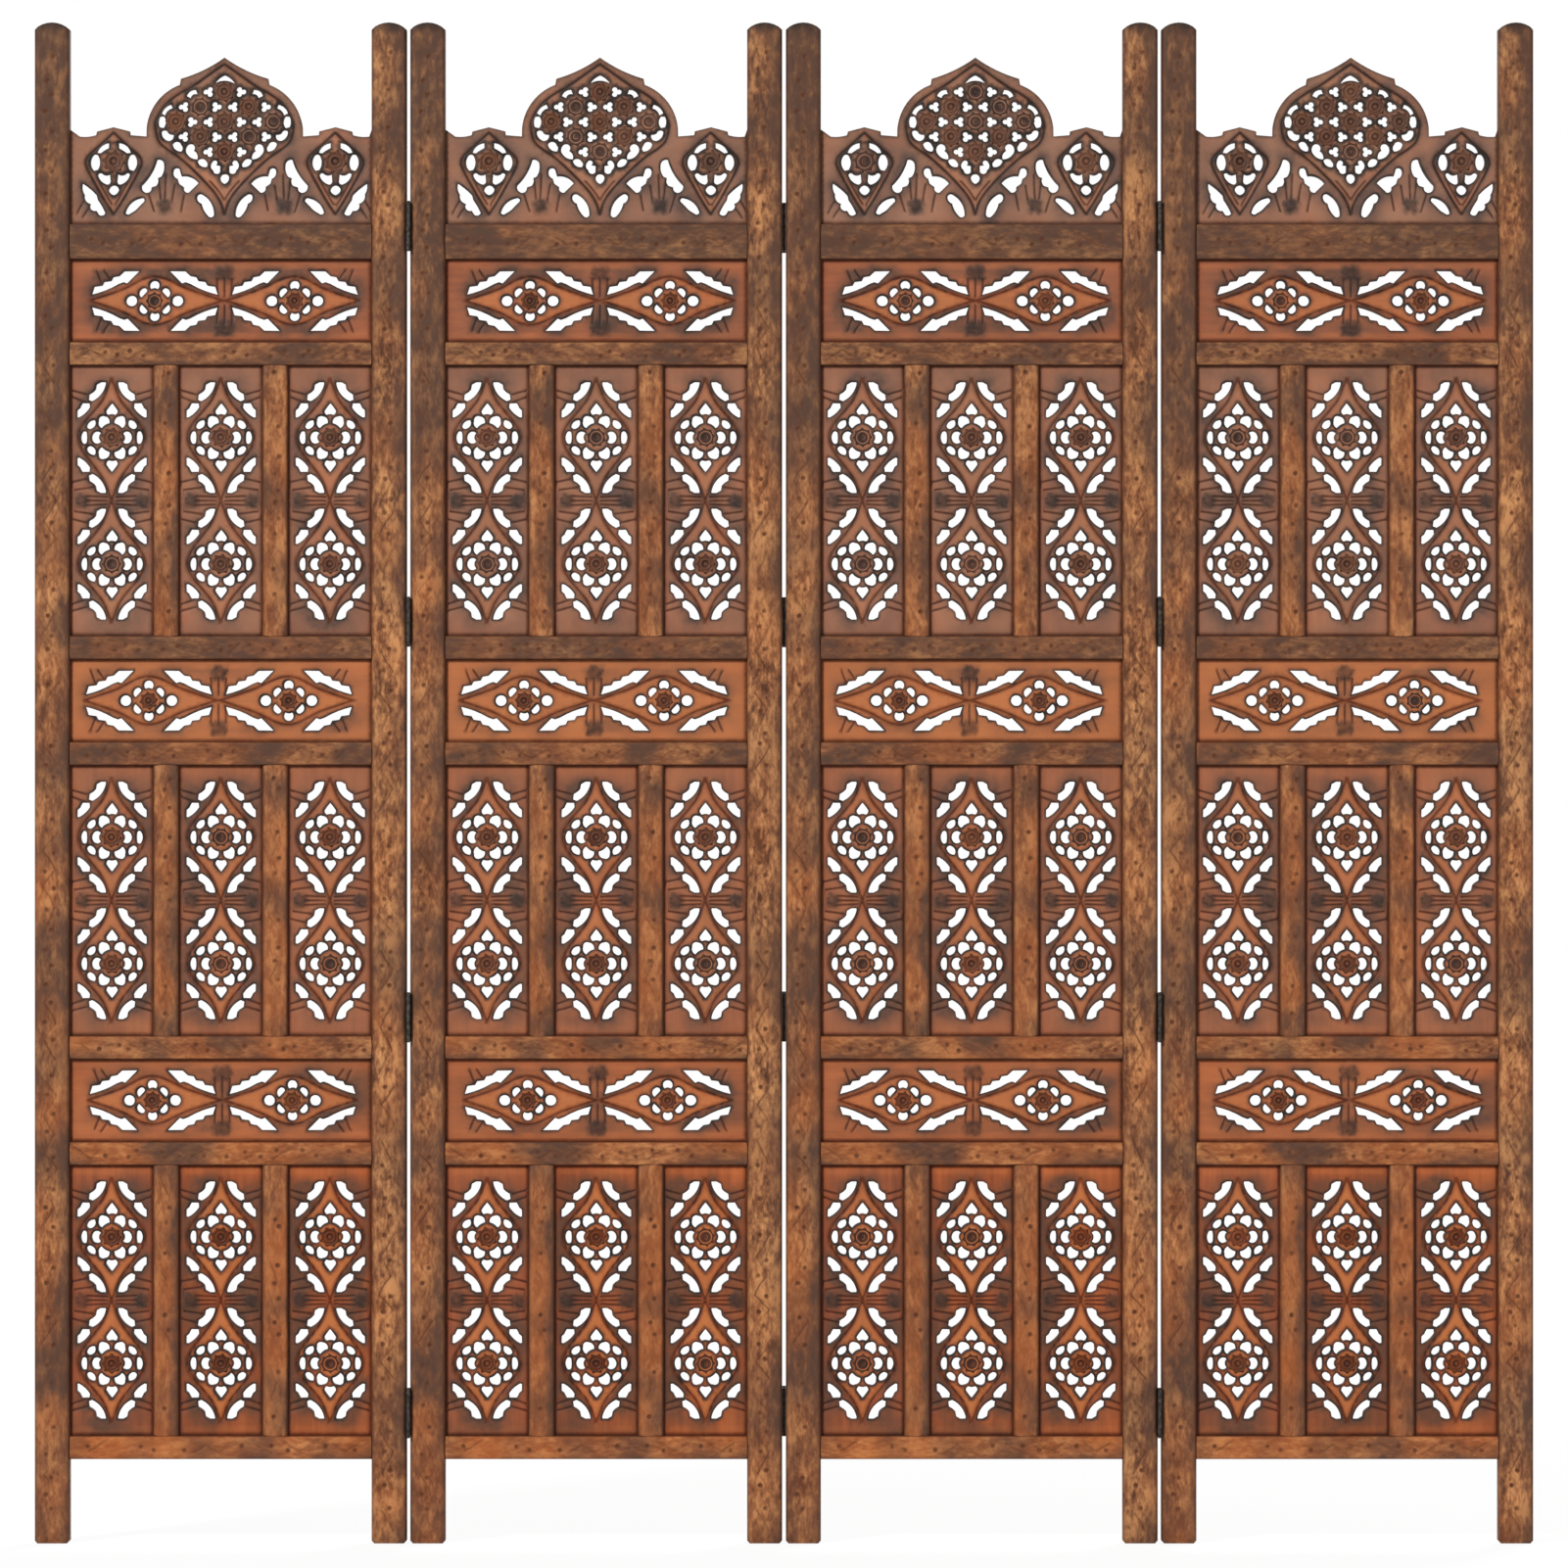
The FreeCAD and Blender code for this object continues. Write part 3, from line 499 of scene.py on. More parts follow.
frameFinish = {
    "dark": (0.056, 0.023, 0.012),
    "mid": (0.196, 0.078, 0.033),
    "gold": (0.440, 0.204, 0.080),
    "warm": (0.330, 0.086, 0.020),
    "smoke": (0.068, 0.034, 0.022),
    "char": (0.022, 0.016, 0.013),
    "cut": (0.070, 0.022, 0.008),
    "tones": (0.40, 0.485, 0.595),
    "streaks": (330, 5, 0.6),
    "blotch": (120, 4, 0.6),
    "bands": (30, 3, 0.5),
    "patch": (11, 4, 0.6),
    "cloud": (48, 5, 0.65),
    "fine": (260, 3, 0.6),
    "gloss": (0.25, 0.38),
    "shine": 0.1,
    "bump": (0.35, 0.001),
    "grainUp": (1.0, 1.0, 0.42),
    "grainAcross": (0.42, 1.0, 1.0),
}


def frameWood(name, grain):
    w = frameFinish
    material, tree, shader = newMaterial(name)
    place, drawn = grainPlace(tree, grain)
    streaks, blotch, bands = (noiseOf(tree, drawn, *w[kind]) for kind in ("streaks", "blotch", "bands"))
    patch, cloud, fine = (noiseOf(tree, place, *w[kind]) for kind in ("patch", "cloud", "fine"))
    figure = weighted(tree, (blotch, 0.36), (bands, 0.28), (streaks, 0.36))
    wood = rampOf(tree, figure, w["tones"], (w["dark"], w["mid"], w["gold"]))
    drift = weighted(tree, (cloud, 0.5), (sums(tree, "SUBTRACT", 1.0, blotch), 0.9))
    # smoke also lays painted shade over a bar's right side, and char and cut painted shade along its rounded
    # edges
    for stain, grainy, least in (("warm", patch, 0.1), ("smoke", drift, 0.19),
                                 ("char", cloud, 0.45), ("cut", fine, 0.42)):
        wood = blendOf(tree, stainOf(tree, stain, grainy, least), wood, w[stain])
    polish(tree, shader, wood, streaks, w["gloss"], figure, w["bump"])
    shader.inputs["Specular IOR Level"].default_value = w["shine"]
    return material


ironFinish = {
    "hinge": ((0.018, 0.016, 0.015), (0.075, 0.066, 0.058)),   # black, and rubbed
    "screw": ((0.03, 0.028, 0.026), (0.13, 0.12, 0.11)),
    "hingeGloss": (0.3, 0.35),
    "screwGloss": (0.3, 0.27),
    "rub": (240, 5, 0.6),
    "rubbed": (0.42, 0.72),
    "metal": 0.85,
    "bump": (0.15, 0.0005),
}


def blackIron(name, colours, gloss):
    material, tree, shader = newMaterial(name)
    place = addNode(tree, "ShaderNodeTexCoord").outputs["Object"]
    rub = noiseOf(tree, place, *ironFinish["rub"])
    colour = rampOf(tree, rub, ironFinish["rubbed"], colours)
    polish(tree, shader, colour, rub, gloss, rub, ironFinish["bump"])
    shader.inputs["Metallic"].default_value = ironFinish["metal"]
    return material


boardUp = boardWood("carvedBoardUp", boardFinish["grainUp"], boardFinish["cut"])
boardAcross = boardWood("carvedBoardAcross", boardFinish["grainAcross"], boardFinish["cut"])
bossWood = boardWood("bossWood", boardFinish["grainUp"], boardFinish["bossCut"])
frameUp = frameWood("frameWoodUp", frameFinish["grainUp"])
frameAcross = frameWood("frameWoodAcross", frameFinish["grainAcross"])
hingeIron = blackIron("hingeIron", ironFinish["hinge"], ironFinish["hingeGloss"])
screwSteel = blackIron("screwSteel", ironFinish["screw"], ironFinish["screwGloss"])
print("finishes made")

# pierced boards

boardCarving = {
    "grooveHalf": 2.2,       # half the width of a carved line
    "grooveDepth": 1.3,
    "lineSoot": 0.12,
    "clawHalf": 2.0,
    "clawDepth": 1.0,
    "clawSoot": 0.3,
    "edgeRound": 1.3,        # rounding beside each cut-out
    "edgeDrop": 0.9,
    "charReach": 3.0,        # scorched ring round each cut-out
    "latticeReach": 3.5,     # the same inside a medallion
    "charFade": 2.2,
    "smokeReach": 10,
    "eyeSmoke": (0.45, 4.5),  # depth and reach of the smoke inside a medallion
    "rimReach": 1.6,         # soot along the crest's outline
    "edgeShadowReach": 5.0,        # reach of the red painted shadow that the frame casts along a board
    "fieldWidth": 4.5,       # sloped margin next to the frame
    "fieldDrop": 0.8,
    "endHighlight": (0.5, 7, 4),  # strength, place and reach of the painted highlight band at each end
    "seam": (0.3, 2.2),      # darkness and reach of the painted shade in the seam along the frame
    "knotRise": 0.7,
    "knotSmoke": 0.95,
    "knotSoot": 0.66,
    "uneven": 0.18,          # left by the plane
    "rearSoot": 0.8,         # share of the soot and smoke that the rear shows
    "rearSmoke": 0.5,
    "outerRing": 3.0,        # how far the outer points beside a cut-out stand off
    "rearRing": 3.2,
    "gridStep": 4.2,
    "rearStep": 11,
}


def ogee(half, outer, inner, straight, slope, steps=38):
    # one side of an ogee from its outer tip to its inner tip: round in the middle, straight towards both
    line = []
    for step in range(steps + 1):
        t = -1 + 2 * step / steps
        tip = outer if t < 0 else inner
        wide = slope * tip * (1 - abs(t))
        if abs(t) < straight:
            u = abs(t) / straight
            ease = u * u * (3 - 2 * u)
            wide = (half * (1 - ease) + slope * tip * (1 - straight) * ease
                    + slope * tip * straight * u * u * (1 - u))
        line.append((wide, t * tip))
    return line


def hexGrid(low, high, step, seed):
    draw = random.Random(seed)
    grid = []
    row, z = 0, low[1] + step / 2
    while z < high[1]:
        x = low[0] + step * (0.5 if row % 2 else 1)
        while x < high[0]:
            grid.append((x + draw.uniform(-0.6, 0.6), z + draw.uniform(-0.6, 0.6)))
            x += step
        z += step * 0.87
        row += 1
    return np.array(grid)


def boardPoints(outline, holes, grooves, claws, knots, field, seed):
    # lines kept as edges, then the points over the front and over the rear
    c = boardCarving
    holeRuns, rimRuns = runsOf(holes, closed=True), runsOf([outline], closed=True)
    spots = np.array(outline)
    low, high = spots.min(0), spots.max(0)
    lines = []
    for group, width in ((grooves, c["grooveHalf"]), (claws, c["clawHalf"])):
        for line in group:
            lines += [line, besideLine(line, width), besideLine(line, -width)]
    if field:
        for inset in (0, c["fieldWidth"]):
            w, h = field[0] / 2 - inset, field[1] / 2 - inset
            corners = [(-w, -h), (w, -h), (w, h), (-w, h), (-w, -h)]
            lines += [stroke(a, b, 12) for a, b in zip(corners, corners[1:])]
    loose = [besideLoop(loop, gap) for loop in holes for gap in (c["edgeRound"], c["outerRing"])]
    for x, z, wide, tall in knots:
        loose += [ringOf(x, z, wide * ring, tall * ring, 14) for ring in (1.0, 0.72)]
    loose = np.vstack(loose + [hexGrid(low, high, c["gridStep"], seed)])
    loose = loose[inWood(loose, outline, holes)]
    nearLine = np.minimum(reach(loose, runsOf(grooves)) - c["grooveHalf"],
                          reach(loose, runsOf(claws)) - c["clawHalf"])
    loose = loose[(reach(loose, holeRuns) > 1.0) & (nearLine > 0.5) & (reach(loose, rimRuns) > 0.8)]
    rear = [besideLoop(loop, c["rearRing"]) for loop in holes]
    rear = np.vstack(rear + [hexGrid(low, high, c["rearStep"], seed + 1)])
    rear = rear[inWood(rear, outline, holes)]
    rear = rear[(reach(rear, holeRuns) > 2.0) & (reach(rear, rimRuns) > 1.5)]
    return lines, loose, rear


def carvedBoard(outline, holes, grooves, claws, knots, eyes, field, seed, edgeSoot=0.0, smokeField=None,
                lineSoot=boardCarving["lineSoot"], latticeReach=boardCarving["latticeReach"]):
    # eyes are the medallion outlines; field is the visible size of a board with a sloped margin, or None
    c = boardCarving
    half = layout["boardDepth"] / 2
    holeRuns, rimRuns = runsOf(holes, closed=True), runsOf([outline], closed=True)
    grooveRuns, clawRuns = runsOf(grooves), runsOf(claws)

    def soot(places):
        across, up = places.T
        hole = reach(places, holeRuns)
        inEye = np.zeros(len(places), bool)
        for eye in eyes:
            inEye |= within(places, eye)
        scorched = np.where(inEye, latticeReach, c["charReach"])
        char = unit((scorched - hole) / c["charFade"]) * (0.62 + 0.5 * mottle(places, seed + 3, 24))
        eyeDepth, eyeReach = c["eyeSmoke"]
        smoke = np.where(inEye, eyeDepth * fade(hole, eyeReach), fade(hole, c["smokeReach"], 1.6))
        if smokeField:
            wide, tall, depth = smokeField
            inner = np.minimum(wide - np.abs(across), tall - np.abs(up))
            smoke = np.where(inEye, smoke, np.maximum(smoke, depth * unit(0.5 + inner / 5)))
        if edgeSoot:
            char = np.maximum(char, edgeSoot * fade(reach(places, rimRuns), c["rimReach"]))
        return hole, char, smoke, inEye

    def front(places):
        across, up = places.T
        hole, char, smoke, inEye = soot(places)
        grooveFar = reach(places, grooveRuns) / c["grooveHalf"]
        groove, claw = unit(1 - grooveFar), unit(1 - reach(places, clawRuns) / c["clawHalf"])
        drop = c["edgeDrop"] * unit(1 - hole / c["edgeRound"]) ** 2
        drop = np.maximum(np.maximum(drop, c["grooveDepth"] * groove), c["clawDepth"] * claw)
        char = np.maximum(char, np.maximum(lineSoot * groove, c["clawSoot"] * claw))
        cut = np.maximum(unit(1.35 - grooveFar), np.minimum(1, 1.5 * claw))
        bright = np.where(inEye, 0.9 * unit((hole - 1.5) / 3), 0.0)
        edge = np.zeros(len(places))
        if field:
            sides, ends = field[0] / 2 - np.abs(across), field[1] / 2 - np.abs(up)
            margin = np.minimum(sides, ends)
            drop += c["fieldDrop"] * unit(1 - margin / c["fieldWidth"])
            # painted shadow from the frame: full along a board's left side, weaker on its right side and at its
            # ends
            leftward = np.where(across < 0, 1.0, 0.45)
            edge = np.maximum(leftward * fade(sides, c["edgeShadowReach"]), 0.5 * fade(ends, c["edgeShadowReach"]))
            smoke *= unit(0.25 + margin / 9)
            # a painted highlight band at each end of a board
            glow, place, spread = c["endHighlight"]
            bright = np.maximum(bright, glow * fade(ends - place, spread))
        else:
            margin = np.minimum(up, layout["clearWidth"] / 2 - np.abs(across))
        # painted shade in the seam along the frame, laid into the char and cut stains
        seamShade, seamReach = c["seam"]
        seam = fade(np.maximum(margin, 0), seamReach)
        char, cut = np.maximum(char, seamShade * seam), np.maximum(cut, seam)
        for x, z, wide, tall in knots:
            far = (np.abs((across - x) / wide) ** 3 + np.abs((up - z) / tall) ** 3) ** (1 / 3)
            far *= 1 + 0.35 * (mottle(places, seed + 7, 9) - 0.5)
            drop -= c["knotRise"] * unit((1 - far) / 0.28)
            smoke = np.maximum(smoke, c["knotSmoke"] * unit((1.6 - far) / 0.7))
            speckle = 0.75 + 0.5 * mottle(places, seed + 8, 6)
            char = np.maximum(char, c["knotSoot"] * unit((1.15 - far) / 0.4) * speckle)
        drop += c["uneven"] * (mottle(places, seed, 30) - 0.5)
        return drop - half, {"cut": cut, "char": char, "smoke": smoke, "bright": bright, "edge": edge}

    def back(places):
        char, smoke = soot(places)[1:3]
        plain = np.zeros(len(places))
        return np.full(len(places), half), {"cut": plain, "char": char * c["rearSoot"],
                                            "smoke": smoke * c["rearSmoke"], "bright": plain, "edge": plain}

    lines, loose, rear = boardPoints(outline, holes, grooves, claws, knots, field, seed)
    return slab(outline, holes, lines, loose, [], rear, front, back)


def boardRectangle(width, height):
    w, h = width / 2 + layout["tuck"], height / 2 + layout["tuck"]
    return dividedLoop([(-w, -h), (w, -h), (w, h), (-w, h)], 12, 2)


def holesOf(nodeName, x, z, half, low, high):
    # a CAD board's outline and its cut-outs, about the board's middle or foot
    loops = frontLoops(nodeName, (x - half, z + low), (x + half, z + high))
    loops.sort(key=spanOf, reverse=True)
    local = [[(px - x, pz - z) for px, pz in loop] for loop in loops]
    return local[0], [thinned(loop) for loop in local[1:]]


fretCarving = {
    "search": (55, -170, 170),     # half width, low and high of the space that holds one board
    "eyeRise": 68.7,               # middle of each medallion from the board's middle
    "ogeeHalf": 36.4,
    "ogeeOuter": 64,
    "ogeeStraight": 0.72,          # share of each half after which the lines run straight
    "tipSlope": 0.38,
    "ribbons": (-5.0, 0.0, 5.0),
    "ribbonRun": (5.5, 26.5),
    "ribbonSpread": (0.8, 1.0),    # at the two ends
    "knots": [(-33, 0, 7.6, 8.4), (33, 0, 7.6, 8.4)],
    "endClaws": [((27.4, 115.4), (42.4, 119.6)), ((28.4, 107.2), (42.8, 112.4))],
    "midClaws": [((26.8, 23.8), (42.4, 20.2)), ((19.4, 14.6), (40.6, 11.6))],
}


def makeFret():
    f = fretCarving
    holes = holesOf("panel_1_lower_frets", panelMiddle(1), fretMiddle(0), *f["search"])[1]
    side = ogee(f["ogeeHalf"], f["ogeeOuter"], f["eyeRise"], f["ogeeStraight"], f["tipSlope"])
    grooves, eyes = [], []
    for up in (-1, 1):
        pair = [[(across * w, up * (f["eyeRise"] - t)) for w, t in side] for across in (-1, 1)]
        grooves += pair
        eyes.append(pair[0] + pair[1][::-1])
    claws = []
    for across in (-1, 1):
        for rise in f["ribbons"]:
            ends = [(across * out, rise * spread) for out, spread in zip(f["ribbonRun"], f["ribbonSpread"])]
            claws.append(stroke(*ends, 4))
        for start, end in f["endClaws"] + f["midClaws"]:
            for up in (-1, 1):
                claws.append(stroke((across * start[0], up * start[1]), (across * end[0], up * end[1])))
    size = layout["fretWidth"], layout["fretHeight"]
    return carvedBoard(boardRectangle(*size), holes, grooves, claws, f["knots"], eyes, size, 11)


friezeCarving = {
    "search": (175, -60, 60),
    "eyeOut": 76,
    "eyeHalf": 26.2,
    "outerTip": 70,
    "innerTip": 74,
    "eyeStraight": 0.55,
    "tipSlope": 0.33,
    "smokeField": (139, 35, 0.8),  # half width, half height and depth of the smoke round the eyes
    "close": 0.5,                  # how much tighter the cut-outs are
    "shifts": (1.5, -2.5, 4),      # lower, middle and upper board
    "ribbons": (-7.5, 0, 7.5),
    "ribbonRun": (6, 24),
    "ribbonSpread": (1.0, 1.1),
    "knots": [(0, -29, 10.5, 8.6), (0, 29, 10.5, 8.6)],
    "claws": [((-57.6, 18.4), (-62.4, 31)), ((-48.4, 23.4), (-55, 33))],
}


def makeFrieze(tier):
    f = friezeCarving
    holes = holesOf("panel_1_friezes", panelMiddle(1), friezeMiddle(tier), *f["search"])[1]
    holes = [[tuple(p) for p in besideLoop(hole, -f["close"])] for hole in holes]
    shift = f["shifts"][tier]
    grooves, claws, eyes = [], [], []
    side = ogee(f["eyeHalf"], f["outerTip"], f["innerTip"], f["eyeStraight"], f["tipSlope"])
    for across in (-1, 1):
        pair = [[(shift + across * (f["eyeOut"] - t), up * w) for w, t in side] for up in (-1, 1)]
        grooves += pair
        eyes.append(pair[0] + pair[1][::-1])
        for up in (-1, 1):
            for ends in f["claws"]:
                claws.append(stroke(*[(shift + across * (f["eyeOut"] - p[0]), up * p[1]) for p in ends]))
    for ribbon in f["ribbons"]:
        for up in (-1, 1):
            ends = [(shift + ribbon * spread, up * out)
                    for out, spread in zip(f["ribbonRun"], f["ribbonSpread"])]
            claws.append(stroke(*ends, 4))
    knots = [(shift + knot[0], *knot[1:]) for knot in f["knots"]]
    size = layout["clearWidth"], layout["friezeHeight"]
    return carvedBoard(boardRectangle(*size), holes, grooves, claws, knots, eyes, size, 21 + tier,
                       smokeField=f["smokeField"])


crestCarving = {
    "search": (175, -10, 190),
    "shift": 4,
    "edgeSoot": 0.7,
    "lineSoot": 0.9,
    "latticeReach": 4.6,
    "doubled": 4.6,          # a second line inside the foot of each medallion
    "doubledTo": 44,
    "dome": [(0, 174), (14.7, 163.6), (34, 150), (50, 141), (64.5, 129), (74.4, 112), (74.6, 101), (71, 89.5),
             (61, 80.5), (49, 72.4), (34, 59), (19, 43.6), (9.6, 32.5), (3.6, 22), (0.4, 11)],
    "sideEye": 120.3,
    "sideLoop": [(0, 99.6), (14, 86.5), (26, 76), (30.3, 69), (29, 60.5), (18.6, 41.2), (9.4, 25), (0.6, 11.5)],
    "knots": [(65, 20.4, 7.6, 7.4)],
    "claws": [((81.9, 31.4), (76.5, 14.1)), ((71.1, 45.6), (69.4, 28)), ((63.5, 53.2), (64.6, 29)),
              ((54.3, 42.3), (57, 26.5)), ((44, 31.4), (47, 15.5)), ((153.5, 8.4), (147.5, 17.3)),
              ((159, 14), (153.6, 24))],
}


def makeCrest():
    f = crestCarving
    outer, holes = holesOf("panel_1_crest", panelMiddle(1), crestBase, *f["search"])
    w = layout["clearWidth"] / 2 + layout["tuck"]
    outer = [(min(max(px, -w), w), max(pz, -layout["tuck"])) for px, pz in outer]
    claws, knots = [], []
    dome = [smoothLine([(f["shift"] + across * px, pz) for px, pz in f["dome"]]) for across in (-1, 1)]
    grooves, eyes = list(dome), [dome[0] + dome[1][::-1]]
    for across in (-1, 1):
        loops = [smoothLine([(f["shift"] + across * f["sideEye"] + flip * px, pz) for px, pz in f["sideLoop"]])
                 for flip in (-1, 1)]
        grooves += loops
        eyes.append(loops[0] + loops[1][::-1])
        claws += [stroke(*[(f["shift"] + across * px, pz) for px, pz in pair]) for pair in f["claws"]]
        knots += [(f["shift"] + across * knot[0], *knot[1:]) for knot in f["knots"]]
    for line in list(grooves):
        lowerHalf = [p for p in line if p[1] < f["doubledTo"]]
        middle = line[-1][0]
        inward = f["doubled"] if lowerHalf[0][0] < middle else -f["doubled"]
        claws.append([p for p in besideLine(lowerHalf, inward) if (p[0] - middle) * inward < -1])
    return carvedBoard(dividedLoop(outer, 10, 1), holes, grooves, claws, knots, eyes, None, 31,
                       edgeSoot=f["edgeSoot"], lineSoot=f["lineSoot"], latticeReach=f["latticeReach"])


fret = makeFret()
friezes = [makeFrieze(tier) for tier in range(3)]
crest = makeCrest()
print("boards carved:", len(fret["faces"]), [len(f["faces"]) for f in friezes], len(crest["faces"]))

# how each board took its stain: smoke, warm colour, glow, and how dark its left, right and foot are
boardStain = {
    "upper": [(0.76, 0.15, 0.10, 0.05, 0.25, 0.0), (0.6, 0.12, 0.20, 0.0, 0.18, 0.0),
              (0.76, 0.20, 0.15, 0.12, 0.20, 0.0)],
    "middle": [(0.72, 0.50, 0.25, 0.10, 0.50, 0.0), (0.8, 0.55, 0.25, 0.52, 0.55, 0.0),
               (0.62, 0.48, 0.25, 0.10, 0.15, 0.0)],
    "lower": [(0.80, 0.85, 0.05, 0.35, 0.40, 0.75), (0.95, 1.0, 0.15, 0.62, 0.80, 0.70),
              (0.95, 1.0, 0.25, 0.85, 0.40, 0.25)],
    "friezes": [(0.60, 0.75, 0.40, 0.05, 0.6, 0.0), (0.50, 0.60, 0.80, 0.0, 0.2, 0.0),
                (1.0, 0.60, 0.10, 0.15, 0.2, 0.0)],
    "crest": (0.85, 0.0, 0.05, 0.05, 0.05, 0.25),
    "smokeSize": 55,
    "haze": 0.40,            # thin smoke over the whole board
    "hazeSize": 90,
    "endHaze": 0.26,         # the same at the ends of a dull board
    "endFrom": 0.84,         # where the ends begin, as a share of the half height
    "endFade": 0.1,
    "sideFrom": 0.32,        # where the dark sides begin, as a share of the half width
    "sideFade": 0.25,
    "endClear": 8,           # lighter margin left above and below the dark sides
    "clearFade": 14,
}


def stained(solid, x, z, stain, seed):
    s = boardStain
    smoke, warm, glow, left, right, foot = stain
    flat = solid["points"][:, [0, 2]]
    across, up = flat.T
    ribbon = solid["finish"]["bright"]
    cloud = mottle(flat, seed, s["smokeSize"])
    half, tall = np.abs(flat).max(axis=0)
    beside = unit((np.abs(across) / half - s["sideFrom"]) / s["sideFade"])
    beside *= unit((tall - np.abs(up) - s["endClear"]) / s["clearFade"])
    atEnds = unit((np.abs(up) - s["endFrom"] * tall) / (s["endFade"] * tall))
    haze = s["haze"] * (1 - warm) * mottle(flat, seed + 500, s["hazeSize"])
    haze += np.where(across < 0, left, right) * beside * (ribbon < 0.3) * (0.5 + 0.7 * cloud)
    haze += s["endHaze"] * (1 - warm) * atEnds
    haze += foot * atEnds * (up < 0) * (0.3 + 0.7 * cloud)
    amount = unit(solid["finish"]["smoke"] * smoke * (0.2 + 1.2 * cloud) + haze)
    # bright holds the ribbons and the painted highlight band at the ends
    bright = np.maximum(ribbon * (0.25 + 0.75 * warm), glow)
    # the painted shadow along the frame
    edge = solid["finish"]["edge"] * (0.6 + 0.4 * warm) * (1 - glow)
    return shifted(solid, x, z, smoke=amount, bright=bright, edge=edge, tone=(seed * 0.137) % 1, warm=warm)


def settleWood(body, name, solids, material, slot, node):
    settle(meshPiece(f"{body}_{name}", solids, material), body, slot, f"{body}_{node}")


def placeBoards(panel):
    body, x = f"panel_{panel}", panelMiddle(panel)
    friezeBoards = []
    for tier, tierName in enumerate(tierNames):
        boards = []
        for place, stain in enumerate(boardStain[tierName]):
            boards.append(stained(fret, x + (place - 1) * columnStep, fretMiddle(tier), stain,
                                  10 * panel + 3 * tier + place))
        settleWood(body, f"{tierName}_fret_boards", boards, boardUp, "board_wood", f"{tierName}_frets")
        friezeBoards.append(stained(friezes[tier], x, friezeMiddle(tier), boardStain["friezes"][tier],
                                    60 + 10 * panel + tier))
    settleWood(body, "frieze_boards", friezeBoards, boardAcross, "board_wood", "friezes")
    crestBoard = stained(crest, x, crestBase, boardStain["crest"], 110 + panel)
    settleWood(body, "crest_board", [crestBoard], boardAcross, "board_wood", "crest")


for panel in range(1, panelCount + 1):
    placeBoards(panel)
print("boards placed")

# posts, rails and muntins, with incised zigzags and punched dots

frameCarving = {
    "lineHalf": 1.5,
    "lineDepth": 0.8,
    "dotRadius": 3.5,
    "dotDepth": 1.5,
    "strengths": (0.35, 0.60, 0.85),   # worn, middling and clear strokes
    "topSoot": (0.95, 2.6),            # depth and reach of the soot on a post's head
    "uneven": 0.3,
    "gridStep": 6.5,
    "rearStep": 13,
}


def zigzag(length, dress, seed, strokesTo=None):
    # strokes and dots along a bar, as (across, along), each with its strength
    draw = random.Random(seed)
    strokes, dots = [], []
    start, step, sway, drift = dress["start"], dress["step"], dress["sway"], dress["drift"]
    along, side = start, draw.choice((-1, 1))
    here = (drift - side * sway, along)
    while along + step < length - start * 0.6:
        along += step * draw.uniform(0.78, 1.22)
        there = (drift + side * sway * draw.uniform(0.6, 1.2), along)
        middle = ((here[0] + there[0]) / 2 + draw.uniform(-1.4, 1.4), (here[1] + there[1]) / 2)
        if strokesTo is None or along < strokesTo:
            strength = draw.choice(frameCarving["strengths"]) * dress["wear"]
            if draw.random() < dress["kept"]:
                strokes.append((smoothLine([here, middle, there], 3), strength))
        if draw.random() < dress["dots"]:
            dots.append((drift + dress["dotDrift"] - side * sway * draw.uniform(0.2, 0.7),
                         along + draw.uniform(-4, 4), draw.uniform(0.5, 1.0)))
        here, side = there, -side
    return strokes, dots


def barOutline(w, length, foot, crown, levels):
    spring = length - crown
    outline = [(-w + foot, 0)] + stroke((-w + foot, 0), (w - foot, 0), 4)[1:]
    outline += [(w, foot + (spring - foot) * i / levels) for i in range(0 if foot else 1, levels + 1)]
    if crown:
        radius = (w * w + crown * crown) / (2 * crown)
        reachAngle = math.asin(w / radius)
        for i in range(1, 9):
            angle = reachAngle * (1 - i / 4)
            outline.append((radius * math.sin(angle), length - radius + radius * math.cos(angle)))
    else:
        outline += stroke((w, length), (-w, length), 4)[1:]
    last = levels + (1 if foot else 0)
    return outline + [(-w, foot + (spring - foot) * (1 - i / levels)) for i in range(1, last)]


